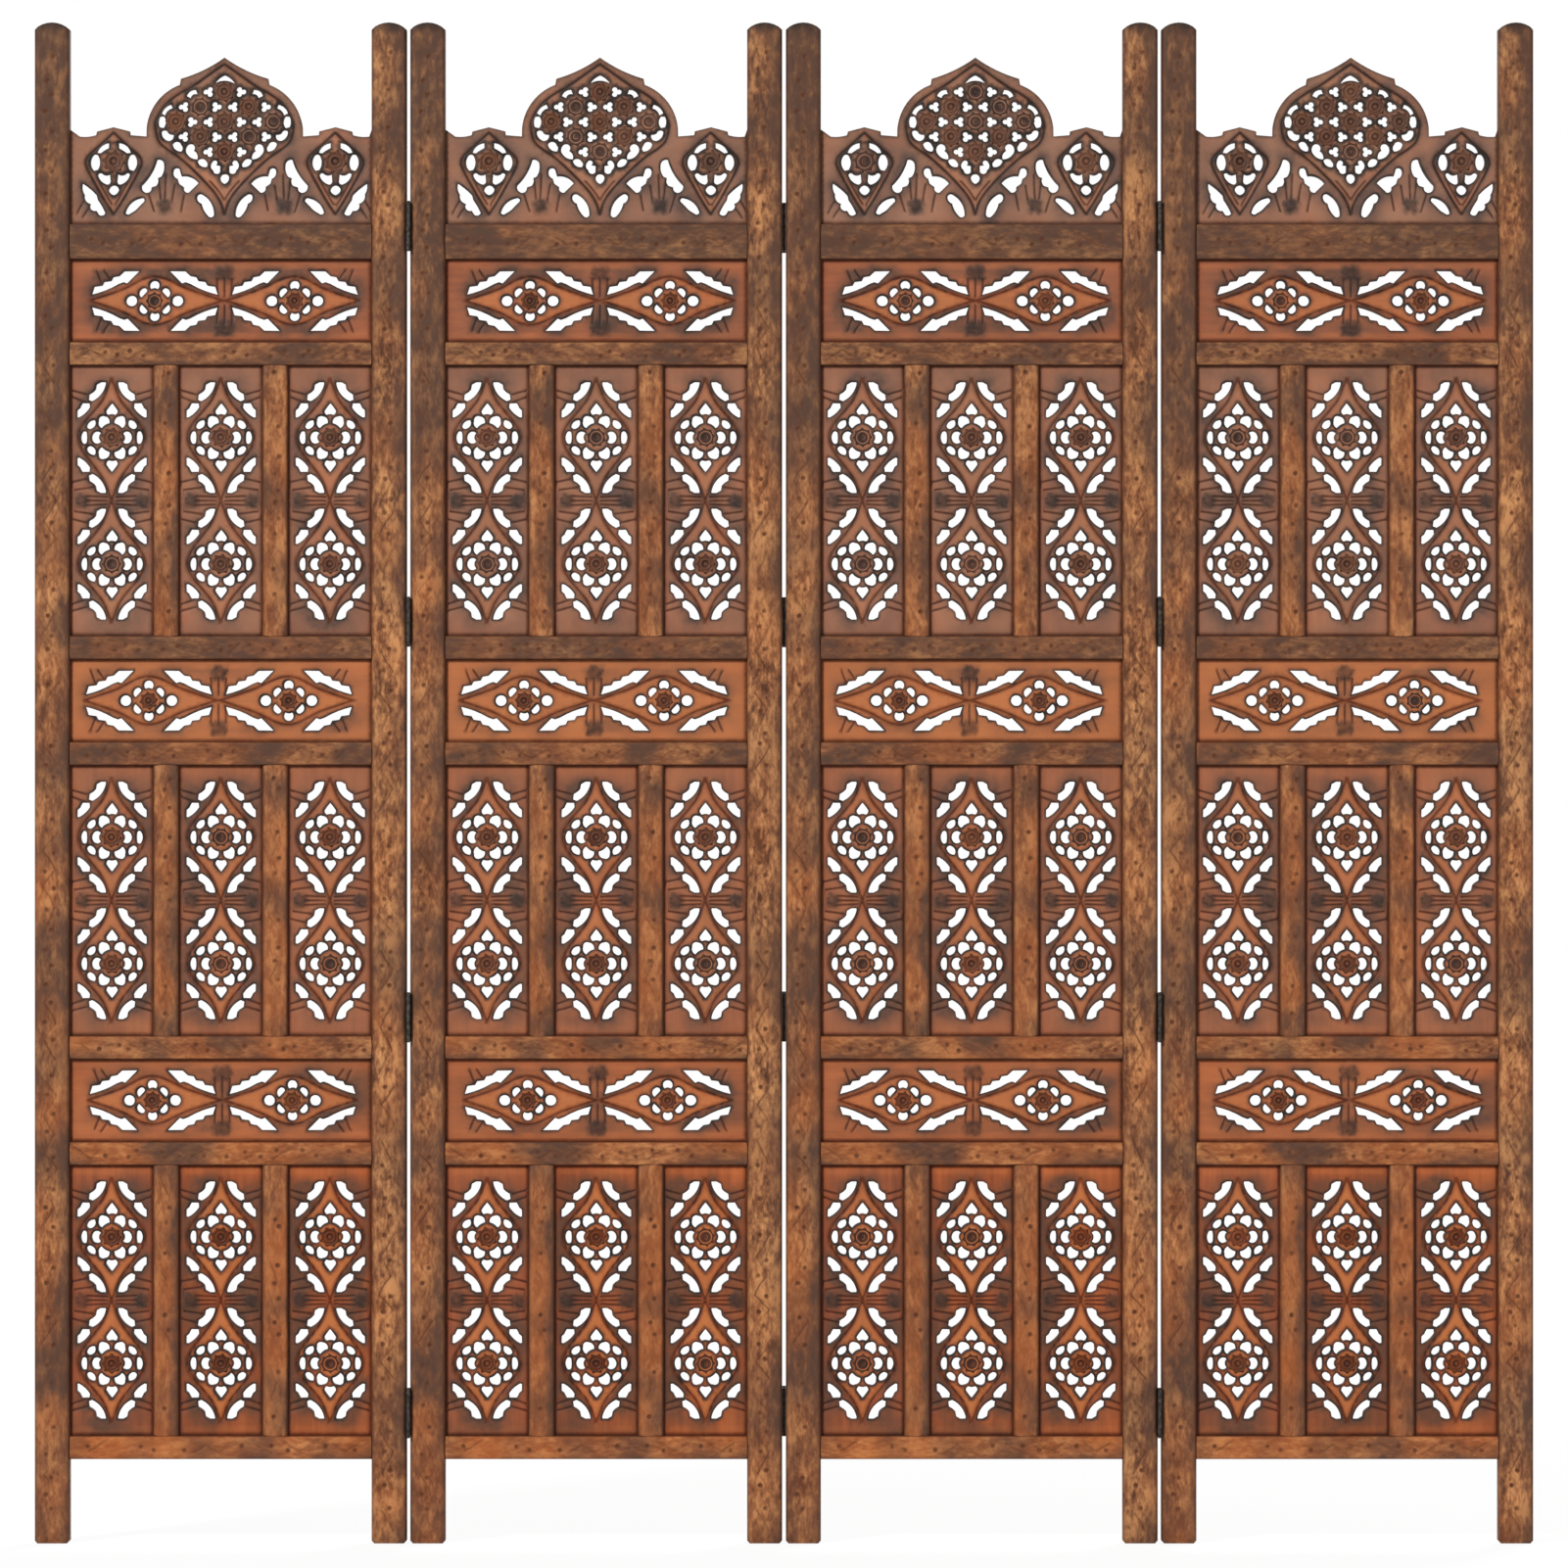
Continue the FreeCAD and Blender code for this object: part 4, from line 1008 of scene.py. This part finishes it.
def dressedBar(size, depth, dress, pattern, seed, foot=0, crown=0):
    # an upright bar about its own middle line, from zero up
    c = frameCarving
    width, length = size
    w, half, roundness = width / 2, depth / 2, dress["round"]
    spring = length - crown
    levels = max(3, round(length / 14))
    strokes, dots = pattern

    rounds = []
    for share in (0.12, 0.38, 0.68, 1.0):
        for side in (-1, 1):
            x = side * (w - roundness * share)
            rounds.append([(x, foot + 0.6 + (spring - foot - 1.2) * i / levels) for i in range(levels + 1)])
    lines = list(rounds)
    groups = {}
    for line, strength in strokes:
        lines += [line, besideLine(line, c["lineHalf"]), besideLine(line, -c["lineHalf"])]
        groups.setdefault(strength, []).append(line)
    groups = {strength: runsOf(group) for strength, group in groups.items()}
    loose = []
    for x, z, strength in dots:
        loose.append((x, z))
        for ring in (1.0, 0.55):
            loose += ringOf(x, z, c["dotRadius"] * ring, c["dotRadius"] * ring, 9)
    grid = hexGrid((-w + roundness, 3), (w - roundness, spring - 2), c["gridStep"], seed)
    keep = reach(grid, runsOf([line for line, strength in strokes])) > c["lineHalf"] + 0.8
    for x, z, strength in dots:
        keep &= np.hypot(grid[:, 0] - x, grid[:, 1] - z) > c["dotRadius"] + 0.6
    loose = np.vstack([np.array(loose).reshape(-1, 2), grid[keep]])

    def rounding(places):
        across, up = places.T
        edge = np.clip(w - np.abs(across), 0, roundness)
        drop = roundness - np.sqrt(np.maximum(roundness ** 2 - (roundness - edge) ** 2, 0))
        if foot:
            drop = np.maximum(drop, foot - up)
        return drop, 1 - edge / roundness

    def finish(places, cut, edge):
        across, up = places.T
        # painted shade along the rounded edges, laid into the char and cut stains
        char = dress["edgeShade"] * edge ** 1.6
        cut = np.maximum(cut, dress["edgeShadeCut"] * edge ** 1.6)
        # painted shade over the right side of the bar, laid into the smoke stain
        shade = unit((across - w + dress["shade"]) / (0.75 * dress["shade"]))
        smoke = dress["patchy"] * (mottle(places, seed + 5, dress["patch"]) - 0.5) + dress["shadeDepth"] * shade
        if crown:
            topSoot, topReach = c["topSoot"]
            char = char + topSoot * fade(np.maximum(length - up - crown * (across / w) ** 2, 0), topReach)
            smoke += np.interp(up, dress["smokeHeights"], dress["smokeLevels"])
        return {"cut": cut, "char": unit(char), "smoke": unit(smoke)}

    def front(places):
        across, up = places.T
        drop, edge = rounding(places)
        line, pit = np.zeros(len(places)), np.zeros(len(places))
        for strength, runs in groups.items():
            line = np.maximum(line, strength * unit(1.2 - reach(places, runs) / c["lineHalf"]))
        for x, z, strength in dots:
            pit = np.maximum(pit, strength * unit(1 - np.hypot(across - x, up - z) / c["dotRadius"]))
        drop = drop + np.maximum(c["lineDepth"] * line, c["dotDepth"] * pit)
        drop += c["uneven"] * (mottle(places, seed, 40) - 0.5) * (edge < 0.6)
        return drop - half, finish(places, np.maximum(line, np.minimum(1, 2.2 * pit)), edge)

    def back(places):
        drop, edge = rounding(places)
        return half - drop, finish(places, np.zeros(len(places)), edge)

    outline = barOutline(w, length, foot, crown, levels)
    rear = hexGrid((-w + roundness, 8), (w - roundness, spring - 6), c["rearStep"], seed + 1)
    return slab(outline, [], lines, loose, rounds, rear, front, back)


def laidDown(bar, length):
    # an upright bar turned to run across, middle at zero, its left end first
    points = bar["points"]
    turned = np.column_stack([points[:, 2] - length / 2, points[:, 1], -points[:, 0]])
    return {"points": turned, "faces": bar["faces"], "finish": bar["finish"]}


postDress = {
    "height": 1650, "foot": 3, "crown": 7.5, "round": 5,
    "start": 14, "step": 20.5, "sway": 7.2, "drift": -2.5,
    "wear": 1.0, "kept": 0.85, "dots": 0.9, "dotDrift": 0,
    "strokesTo": 1370,       # the heads of the posts carry no strokes
    "patchy": 1.0, "patch": 120,
    # shade and shadeDepth paint shade over the right side of a post; the two edge values paint shade along its
    # rounded edges
    "shade": 19, "shadeDepth": 0.55, "edgeShade": 0.25, "edgeShadeCut": 0.5,
    "smokeHeights": (0, 500, 900, 1150, 1400, 1650),
    "smokeLevels": [(0.48, 0.56, 0.32, 0.48, 0.85, 1.0), (0.15, 0.15, 0.15, 0.30, 0.60, 0.9)],
}
railDress = {
    "depth": 21, "round": 1.6,
    "start": 8, "step": 14, "sway": 5.2, "drift": 0,
    "wear": 0.8, "kept": 0.55, "dots": 0.5, "dotDrift": 0,
    "patchy": 1.7, "patch": 90,
    # shade and shadeDepth paint shade along a rail's lower side; the two edge values paint shade along its
    # rounded edges
    "shade": 5, "shadeDepth": 0.3, "edgeShade": 0.15, "edgeShadeCut": 0.9,
    "smoke": (0.0, 0.15, 0.28, 0.50, 0.78, 0.55), "crestSmoke": 0.85,
}
muntinDress = {
    "depth": 19, "round": 4.2,
    "start": 9, "step": 17.5, "sway": 4.6, "drift": -1.5,
    "wear": 0.6, "kept": 0.6, "dots": 0.6, "dotDrift": 3,
    "patchy": 1.3, "patch": 90,
    # shade (left and right muntin) and shadeDepth paint shade over a muntin's right side; the two edge values
    # paint shade along its rounded edges
    "shade": (13, 3), "shadeDepth": 0.75, "edgeShade": 0.15, "edgeShadeCut": 0.85, "smoke": 0.24,
}


def makePost(seed, side):
    p = dict(postDress, smokeLevels=postDress["smokeLevels"][side])
    pattern = zigzag(p["height"] - 16, p, seed, p["strokesTo"])
    return dressedBar((layout["postWidth"], p["height"]), layout["postDepth"], p, pattern, seed,
                      foot=p["foot"], crown=p["crown"])


def makeRail(height, seed):
    length = layout["clearWidth"]
    bar = dressedBar((height, length), railDress["depth"], railDress, zigzag(length, railDress, seed), seed)
    return laidDown(bar, length)


def makeMuntin(seed, side):
    m, length = dict(muntinDress, shade=muntinDress["shade"][side]), layout["fretHeight"]
    return dressedBar((layout["muntinWidth"], length), m["depth"], m, zigzag(length, m, seed), seed)


posts = [makePost(200 + i, i) for i in range(2)]
rails = [makeRail(layout["railHeight"], 300 + i) for i in range(6)]
crestRail = makeRail(layout["crestRailHeight"], 320)
muntins = [makeMuntin(400 + i, i % 2) for i in range(6)]
print("frame carved:", len(posts[0]["faces"]), len(rails[0]["faces"]), len(muntins[0]["faces"]))

# warm colour grows from the crest down to the floor
warmth = {"top": 0.15, "floor": 1.0, "patch": 130, "uneven": 0.6, "posts": (0.65, 0.3)}


def smoked(bar, extra):
    return unit(bar["finish"]["smoke"] + extra)


def warmAt(solid, lift, share=1.0, seed=0):
    down = unit(1 - (solid["points"][:, 2] + lift) / postDress["height"])
    patchy = mottle(solid["points"][:, [0, 2]], seed + 40, warmth["patch"]) - 0.5
    warm = warmth["top"] + (warmth["floor"] - warmth["top"]) * down
    return unit(share * warm + warmth["uneven"] * patchy)


def placeFrame(panel):
    body, x = f"panel_{panel}", panelMiddle(panel)
    out = (layout["clearWidth"] + layout["postWidth"]) / 2
    for i, sideName in enumerate(("left", "right")):
        post = shifted(posts[i], x + (2 * i - 1) * out, 0, tone=0.11 * panel + 0.43 * i,
                       warm=warmAt(posts[i], 0, warmth["posts"][i], panel))
        settleWood(body, f"{sideName}_carved_post", [post], frameUp, "frame_wood", f"{sideName}_post")
    bars = []
    for i, rail in enumerate(rails):
        tier, row = divmod(i, 2)
        z = tierFoot(tier) + layout["railHeight"] / 2 + row * (layout["railHeight"] + layout["fretHeight"])
        bars.append(shifted(rail, x, z, tone=0.17 * i + 0.31 * panel,
                            warm=warmAt(rail, z, 1.0, 7 * tier + row),
                            smoke=smoked(rail, railDress["smoke"][i])))
    settleWood(body, "carved_rails", bars, frameAcross, "frame_wood", "cross_rails")
    z = crestRailBase + layout["crestRailHeight"] / 2
    bar = shifted(crestRail, x, z, tone=0.23 * panel, warm=warmAt(crestRail, z),
                  smoke=smoked(crestRail, railDress["crestSmoke"]))
    settleWood(body, "carved_crest_rail", [bar], frameAcross, "frame_wood", "crest_rail")
    uprights = []
    for i, bar in enumerate(muntins):
        tier, side = divmod(i, 2)
        z = tierFoot(tier) + layout["railHeight"]
        uprights.append(shifted(bar, x + (2 * side - 1) * columnStep / 2, z, tone=0.29 * i + 0.13 * panel,
                                warm=warmAt(bar, z), smoke=smoked(bar, muntinDress["smoke"])))
    settleWood(body, "carved_muntins", uprights, frameUp, "frame_wood", "muntins")


for panel in range(1, panelCount + 1):
    placeFrame(panel)
print("frame placed")

# turned and repeated pieces, made with Geometry Nodes

def curveOf(tree, value, levels):
    node = addNode(tree, "ShaderNodeFloatCurve")
    curve = node.mapping.curves[0]
    last = len(levels) - 1
    curve.points[0].location = (0, levels[0])
    curve.points[1].location = (1, levels[-1])
    for i in range(1, last):
        curve.points.new(i / last, levels[i])
    for point in curve.points:
        point.handle_type = "VECTOR"
    node.mapping.update()
    wire(tree, value, node.inputs["Value"])
    return node.outputs["Value"]


def turnedTree(name, look):
    # a turned piece on every point: look gives radius, height and stain from its base to its tip
    tree = bpy.data.node_groups.new(name, "GeometryNodeTree")
    sockets = {}
    tree.interface.new_socket("Geometry", in_out="INPUT", socket_type="NodeSocketGeometry")
    for label, kind in (("Sides", "Int"), ("Radius", "Float"), ("Height", "Float"), ("Petals", "Float"),
                        ("Scallop", "Float"), ("Slot", "Float"), ("Finish", "Material")):
        socket = tree.interface.new_socket(label, in_out="INPUT", socket_type=f"NodeSocket{kind}")
        sockets[label] = socket.identifier
    tree.interface.new_socket("Geometry", in_out="OUTPUT", socket_type="NodeSocketGeometry")
    given = addNode(tree, "NodeGroupInput").outputs

    cone = nodeWith(tree, "GeometryNodeMeshCone", {
        "Vertices": given["Sides"], "Side Segments": len(look["radius"]) - 1,
        "Radius Top": 0, "Radius Bottom": 1, "Depth": 1}, fill_type="NGON")
    place = addNode(tree, "GeometryNodeInputPosition").outputs[0]
    x, y, level = nodeWith(tree, "ShaderNodeSeparateXYZ", {0: place}).outputs
    flat = nodeWith(tree, "ShaderNodeCombineXYZ", {"X": x, "Y": y}).outputs[0]
    outward = vectorMath(tree, "NORMALIZE", {0: flat})

    # petals: the rim draws in and sinks between them
    angle = sums(tree, "MULTIPLY", sums(tree, "ARCTAN2", y, x), given["Petals"])
    dip = sums(tree, "MULTIPLY", sums(tree, "SUBTRACT", 1.0, sums(tree, "COSINE", angle, 0.0)),
               curveOf(tree, level, look["petal"]))
    drawnIn = sums(tree, "SUBTRACT", 1.0, sums(tree, "MULTIPLY", dip, given["Scallop"]))
    sunk = sums(tree, "SUBTRACT", 1.0, sums(tree, "MULTIPLY", dip, 0.3))
    wide = sums(tree, "MULTIPLY", curveOf(tree, level, look["radius"]), given["Radius"])
    high = sums(tree, "MULTIPLY", curveOf(tree, level, look["height"]), given["Height"])
    reachOut = vectorMath(tree, "SCALE", {0: outward, "Scale": sums(tree, "MULTIPLY", wide, drawnIn)})
    lift = nodeWith(tree, "ShaderNodeCombineXYZ", {"Z": sums(tree, "MULTIPLY", high, sunk)}).outputs[0]
    shape = nodeWith(tree, "GeometryNodeSetPosition", {
        "Geometry": cone.outputs["Mesh"], "Position": vectorMath(tree, "ADD", {0: reachOut, 1: lift})})
    solid = nodeWith(tree, "GeometryNodeStoreNamedAttribute", {
        "Geometry": shape.outputs[0], "Name": "cut", "Value": curveOf(tree, level, look["stain"])},
        data_type="FLOAT", domain="POINT").outputs[0]
    if look["slot"]:
        size = nodeWith(tree, "ShaderNodeCombineXYZ", {
            "X": sums(tree, "MULTIPLY", given["Radius"], 3.0), "Y": given["Slot"], "Z": given["Slot"]})
        bar = nodeWith(tree, "GeometryNodeMeshCube", {"Size": size.outputs[0]})
        solid = nodeWith(tree, "GeometryNodeMeshBoolean", {"Mesh 1": solid, "Mesh 2": bar.outputs["Mesh"]},
                         operation="DIFFERENCE").outputs["Mesh"]

    aim, scale = (nodeWith(tree, "GeometryNodeInputNamedAttribute", {"Name": label},
                           data_type="FLOAT_VECTOR").outputs[0] for label in ("aim", "size"))
    turn = nodeWith(tree, "FunctionNodeEulerToRotation", {0: aim})
    onPoints = nodeWith(tree, "GeometryNodeInstanceOnPoints", {
        "Points": given["Geometry"], "Instance": solid, "Rotation": turn.outputs[0], "Scale": scale})
    real = nodeWith(tree, "GeometryNodeRealizeInstances", {0: onPoints.outputs[0]})
    dressed = nodeWith(tree, "GeometryNodeSetMaterial", {
        "Geometry": real.outputs[0], "Material": given["Finish"]})
    nodeWith(tree, "NodeGroupOutput", {0: dressed.outputs[0]})
    return tree, sockets


def turnedPieces(name, treeAndSockets, look, spots, material):
    # spots are (place in mm, aim in degrees, size, finish)
    tree, sockets = treeAndSockets
    mesh = bpy.data.meshes.new(name)
    mesh.from_pydata([[number * mm for number in spot[0]] for spot in spots], [], [])
    for label, index, factor in (("aim", 1, math.pi / 180), ("size", 2, 1)):
        layer = mesh.attributes.new(label, "FLOAT_VECTOR", "POINT")
        layer.data.foreach_set("vector", [number * factor for spot in spots for number in spot[index]])
    for label in ("char", "smoke", "tone", "warm", "bright"):
        layer = mesh.attributes.new(label, "FLOAT", "POINT")
        layer.data.foreach_set("value", [spot[3].get(label, 0.0) for spot in spots])
    piece = bpy.data.objects.new(name, mesh)
    scene.collection.objects.link(piece)
    maker = piece.modifiers.new("turned", "NODES")
    maker.node_group = tree
    for label, value in (("Sides", look["sides"]), ("Radius", look["size"] * mm), ("Height", look["tall"] * mm),
                         ("Petals", float(look["petals"])), ("Scallop", look["scallop"]),
                         ("Slot", look["slot"] * mm), ("Finish", material)):
        maker[sockets[label]] = value
    bpy.context.view_layer.update()
    made = bpy.data.meshes.new_from_object(piece.evaluated_get(bpy.context.evaluated_depsgraph_get()))
    piece.modifiers.clear()
    piece.data = made
    bpy.data.meshes.remove(mesh)
    made.name = name
    made.polygons.foreach_set("use_smooth", np.ones(len(made.polygons), bool))
    made.set_sharp_from_angle(angle=math.radians(42))
    return piece


# from the rim up to the middle of the hub
rosetteLook = {
    "sides": 24, "size": 1000, "tall": 1000, "petals": 8, "scallop": 0.075, "slot": 0,
    "radius": (1.0, 0.94, 0.80, 0.66, 0.56, 0.45, 0.34, 0.22, 0.0),
    "height": (0.0, 0.45, 0.82, 0.60, 0.22, 1.0, 0.85, 0.40, 0.7),
    "petal": (1.0, 1.0, 0.6, 0.12, 0.0, 0.0, 0.0, 0.0, 0.0),
    "stain": (0.8, 0.45, 0.10, 0.85, 1.2, 0.45, 0.20, 1.0, 0.35),
    "rise": 2.4,
}
# from the hidden end to the tip that shows at the rear
pegLook = {
    "sides": 12, "size": 3.0, "tall": 22.2, "petals": 0, "scallop": 0, "slot": 0,
    "radius": (0.96, 1.0, 1.0, 0.86, 0.5, 0.0),
    "height": (0.0, 0.05, 0.975, 0.992, 0.998, 1.0),
    "petal": (0, 0, 0, 0, 0, 0),
    "stain": (0.0, 0.0, 0.35, 0.1, 0.0, 0.0),
}
# from the flat of the head to the point
screwLook = {
    "sides": 12, "size": 2.5, "tall": 14, "petals": 0, "scallop": 0, "slot": 0.7,
    "radius": (1.0, 0.56, 0.56, 0.50, 0.0),
    "height": (0.0, 0.079, 0.62, 0.86, 1.0),
    "petal": (0, 0, 0, 0, 0),
    "stain": (0, 0, 0, 0, 0),
}
rosetteTree = turnedTree("rosettes", rosetteLook)
pegTree = turnedTree("tenonPegs", pegLook)
screwTree = turnedTree("hingeScrews", screwLook)

rosettePlaces = {
    "fretRadius": 11.6, "friezeRadius": 10.4, "crestRadius": 11.8, "sideRadius": 13.2,
    "sink": 0.5,
    "dome": [(0, 0), (0, 32.5), (0, -32.5), (26.4, 16.25), (26.4, -16.25), (-26.4, 16.25), (-26.4, -16.25),
             (52.8, 0), (-52.8, 0)],
    "domeMiddle": 111.4, "sideRise": 68.4,
    "wornShare": 0.32,       # bosses left flat and scorched
}


def rosetteSpots(panel):
    r = rosettePlaces
    middle = panelMiddle(panel)
    draw = random.Random(700 + panel)
    places = []              # x, z, radius and warm colour
    for tier, tierName in enumerate(tierNames):
        for place, stain in enumerate(boardStain[tierName]):
            for up in (-1, 1):
                places.append((middle + (place - 1) * columnStep,
                               fretMiddle(tier) + up * fretCarving["eyeRise"], r["fretRadius"], stain[1]))
        for side in (-1, 1):
            places.append((middle + friezeCarving["shifts"][tier] + side * friezeCarving["eyeOut"],
                           friezeMiddle(tier), r["friezeRadius"], boardStain["friezes"][tier][1]))
    x, warm = middle + crestCarving["shift"], boardStain["crest"][1]
    for dx, dz in r["dome"]:
        places.append((x + dx, crestBase + r["domeMiddle"] + dz, r["crestRadius"], warm))
    for side in (-1, 1):
        places.append((x + side * crestCarving["sideEye"], crestBase + r["sideRise"], r["sideRadius"], warm))
    spots = []
    for x, z, radius, warm in places:
        worn = draw.random() < r["wornShare"]
        rise = rosetteLook["rise"] * (0.3 if worn else draw.uniform(0.85, 1.1))
        finish = {"char": draw.uniform(0.35, 0.6) if worn else draw.uniform(0.0, 0.15),
                  "smoke": draw.uniform(0.5, 0.9) if worn else draw.uniform(0.3, 0.6),
                  "tone": draw.random(), "warm": warm, "bright": 0.1 if worn else draw.uniform(0.0, 0.35)}
        spots.append(((x, -layout["boardDepth"] / 2 + r["sink"], z), (90, draw.uniform(0, 45), 0),
                      (radius * mm, radius * mm, (rise + r["sink"]) * mm), finish))
    return spots


pegPlaces = {"out": 9, "lowest": 9.5, "rise": 12.5, "from": -9.2, "warm": 0.3}


def pegSpots(panel):
    p = pegPlaces
    out = layout["clearWidth"] / 2 + p["out"]
    heights = [layout["legHeight"] + p["lowest"]]
    for tier in range(3):
        if tier:
            heights.append(tierFoot(tier) + p["rise"])
        heights.append(tierFoot(tier) + layout["railHeight"] + layout["fretHeight"] + p["rise"])
    heights.append(crestRailBase + layout["crestRailHeight"] / 2)
    draw = random.Random(800 + panel)
    spots = []
    for z in heights:
        for side in (-1, 1):
            place, aim = (panelMiddle(panel) + side * out, p["from"], z), (-90, draw.uniform(0, 90), 0)
            finish = {"tone": draw.random(), "warm": p["warm"], "smoke": draw.uniform(0, 0.4)}
            spots.append((place, aim, (1, 1, 1), finish))
    return spots


hingePlaces = {"lowest": 142, "spacing": 429, "perGap": 4, "reach": 15.3, "gap": 4, "leaf": 1.3,
               "screws": [(10, -17), (16, 0), (10, 17)]}


def screwSpots(gap, side):
    h = hingePlaces
    facing = 1 if gap == 2 else -1     # the middle gap folds the other way
    spots = []
    for hinge in range(h["perGap"]):
        for inset, rise in h["screws"]:
            x = (gap - panelCount / 2) * layout["panelPitch"] + side * (h["gap"] / 2 - h["leaf"])
            spots.append(((x, facing * (h["reach"] - inset), h["lowest"] + hinge * h["spacing"] + rise),
                          (0, side * 90, 0), (1, 1, 1), {}))
    return spots


for panel in range(1, panelCount + 1):
    body = f"panel_{panel}"
    piece = turnedPieces(f"{body}_rosettes", rosetteTree, rosetteLook, rosetteSpots(panel), bossWood)
    settle(piece, body, "board_wood")
    piece = turnedPieces(f"{body}_pegs", pegTree, pegLook, pegSpots(panel), frameUp)
    settle(piece, body, "peg_wood", f"{body}_tenon_pegs")
for gap in range(1, panelCount):
    for sideName, side, body in (("left", -1, f"panel_{gap}"), ("right", 1, f"panel_{gap + 1}")):
        piece = turnedPieces(f"hinge_{gap}_{sideName}_slotted_screws", screwTree, screwLook,
                             screwSpots(gap, side), screwSteel)
        settle(piece, body, "screw_steel", f"hinge_{gap}_{sideName}_screws")
print("rosettes, pegs and screws placed")

# hinges keep their solids
for name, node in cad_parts.items():
    if name.startswith("hinge_"):
        node.material_slots[0].material = hingeIron

# stage, light and camera

stageValues = {
    "cameraBack": 9.0,
    "cameraHeight": 0.824,
    "frameWidth": 1.703,
    "worldFill": 0.36,
    "floorGrey": (0.86, 0.86, 0.86, 1),
    "floorWhite": 0.9,       # share of the floor that the camera sees as plain white
    "lamps": {               # place, width and power
        "keyLamp": ((-6.0, -8.0, 6.5), 2.0, 1290),
        "sideLamp": ((5.0, -5.0, 2.0), 3.0, 120),
        "backLamp": ((3.0, 7.0, 5.0), 3.0, 645),
    },
    "lampAim": (0, 0, 0.8),
}
white = (1, 1, 1, 1)


def mixedInto(tree, amount, first, second, outputName):
    mix = nodeWith(tree, "ShaderNodeMixShader", {0: amount, 1: first.outputs[0], 2: second.outputs[0]})
    wire(tree, mix.outputs[0], tree.nodes[outputName].inputs["Surface"])


def makeFloor():
    mesh = bpy.data.meshes.new("floor")
    mesh.from_pydata([(-4, -4, 0), (4, -4, 0), (4, 1.6, 0), (-4, 1.6, 0)], [], [(0, 1, 2, 3)])
    floor = bpy.data.objects.new("floor", mesh)
    scene.collection.objects.link(floor)
    material, tree, shader = newMaterial("paleFloor")
    shader.inputs["Base Color"].default_value = stageValues["floorGrey"]
    shader.inputs["Roughness"].default_value = 0.9
    glow = nodeWith(tree, "ShaderNodeEmission", {"Color": white, "Strength": 1.0})
    path = addNode(tree, "ShaderNodeLightPath").outputs
    seen = sums(tree, "MULTIPLY", path["Is Camera Ray"], stageValues["floorWhite"])
    mixedInto(tree, seen, shader, glow, "Material Output")
    mesh.materials.append(material)


def makeWorld():
    world = bpy.data.worlds.new("studio")
    world.use_nodes = True
    tree = world.node_tree
    fill = tree.nodes["Background"]
    fill.inputs["Color"].default_value = white
    fill.inputs["Strength"].default_value = stageValues["worldFill"]
    plain = nodeWith(tree, "ShaderNodeBackground", {"Color": white, "Strength": 1.0})
    path = addNode(tree, "ShaderNodeLightPath").outputs
    seen = sums(tree, "MAXIMUM", path["Is Camera Ray"],
                sums(tree, "MAXIMUM", path["Is Glossy Ray"], path["Is Transmission Ray"]))
    mixedInto(tree, seen, fill, plain, "World Output")
    scene.world = world


def makeLamp(name, place, size, power):
    data = bpy.data.lights.new(name, "AREA")
    data.shape = "DISK"
    data.size = size
    data.energy = power
    lamp = bpy.data.objects.new(name, data)
    lamp.location = place
    aim = Vector(stageValues["lampAim"]) - Vector(place)
    lamp.rotation_euler = aim.to_track_quat("-Z", "Y").to_euler()
    scene.collection.objects.link(lamp)


def makeCamera():
    data = bpy.data.cameras.new("camera")
    data.sensor_width = 36
    data.lens = 36 * stageValues["cameraBack"] / stageValues["frameWidth"]
    camera = bpy.data.objects.new("camera", data)
    camera.location = (0, -stageValues["cameraBack"], stageValues["cameraHeight"])
    camera.rotation_euler = (math.radians(90), 0, 0)
    scene.collection.objects.link(camera)
    scene.camera = camera


makeFloor()
makeWorld()
for name, lamp in stageValues["lamps"].items():
    makeLamp(name, *lamp)
makeCamera()
print("stage set")
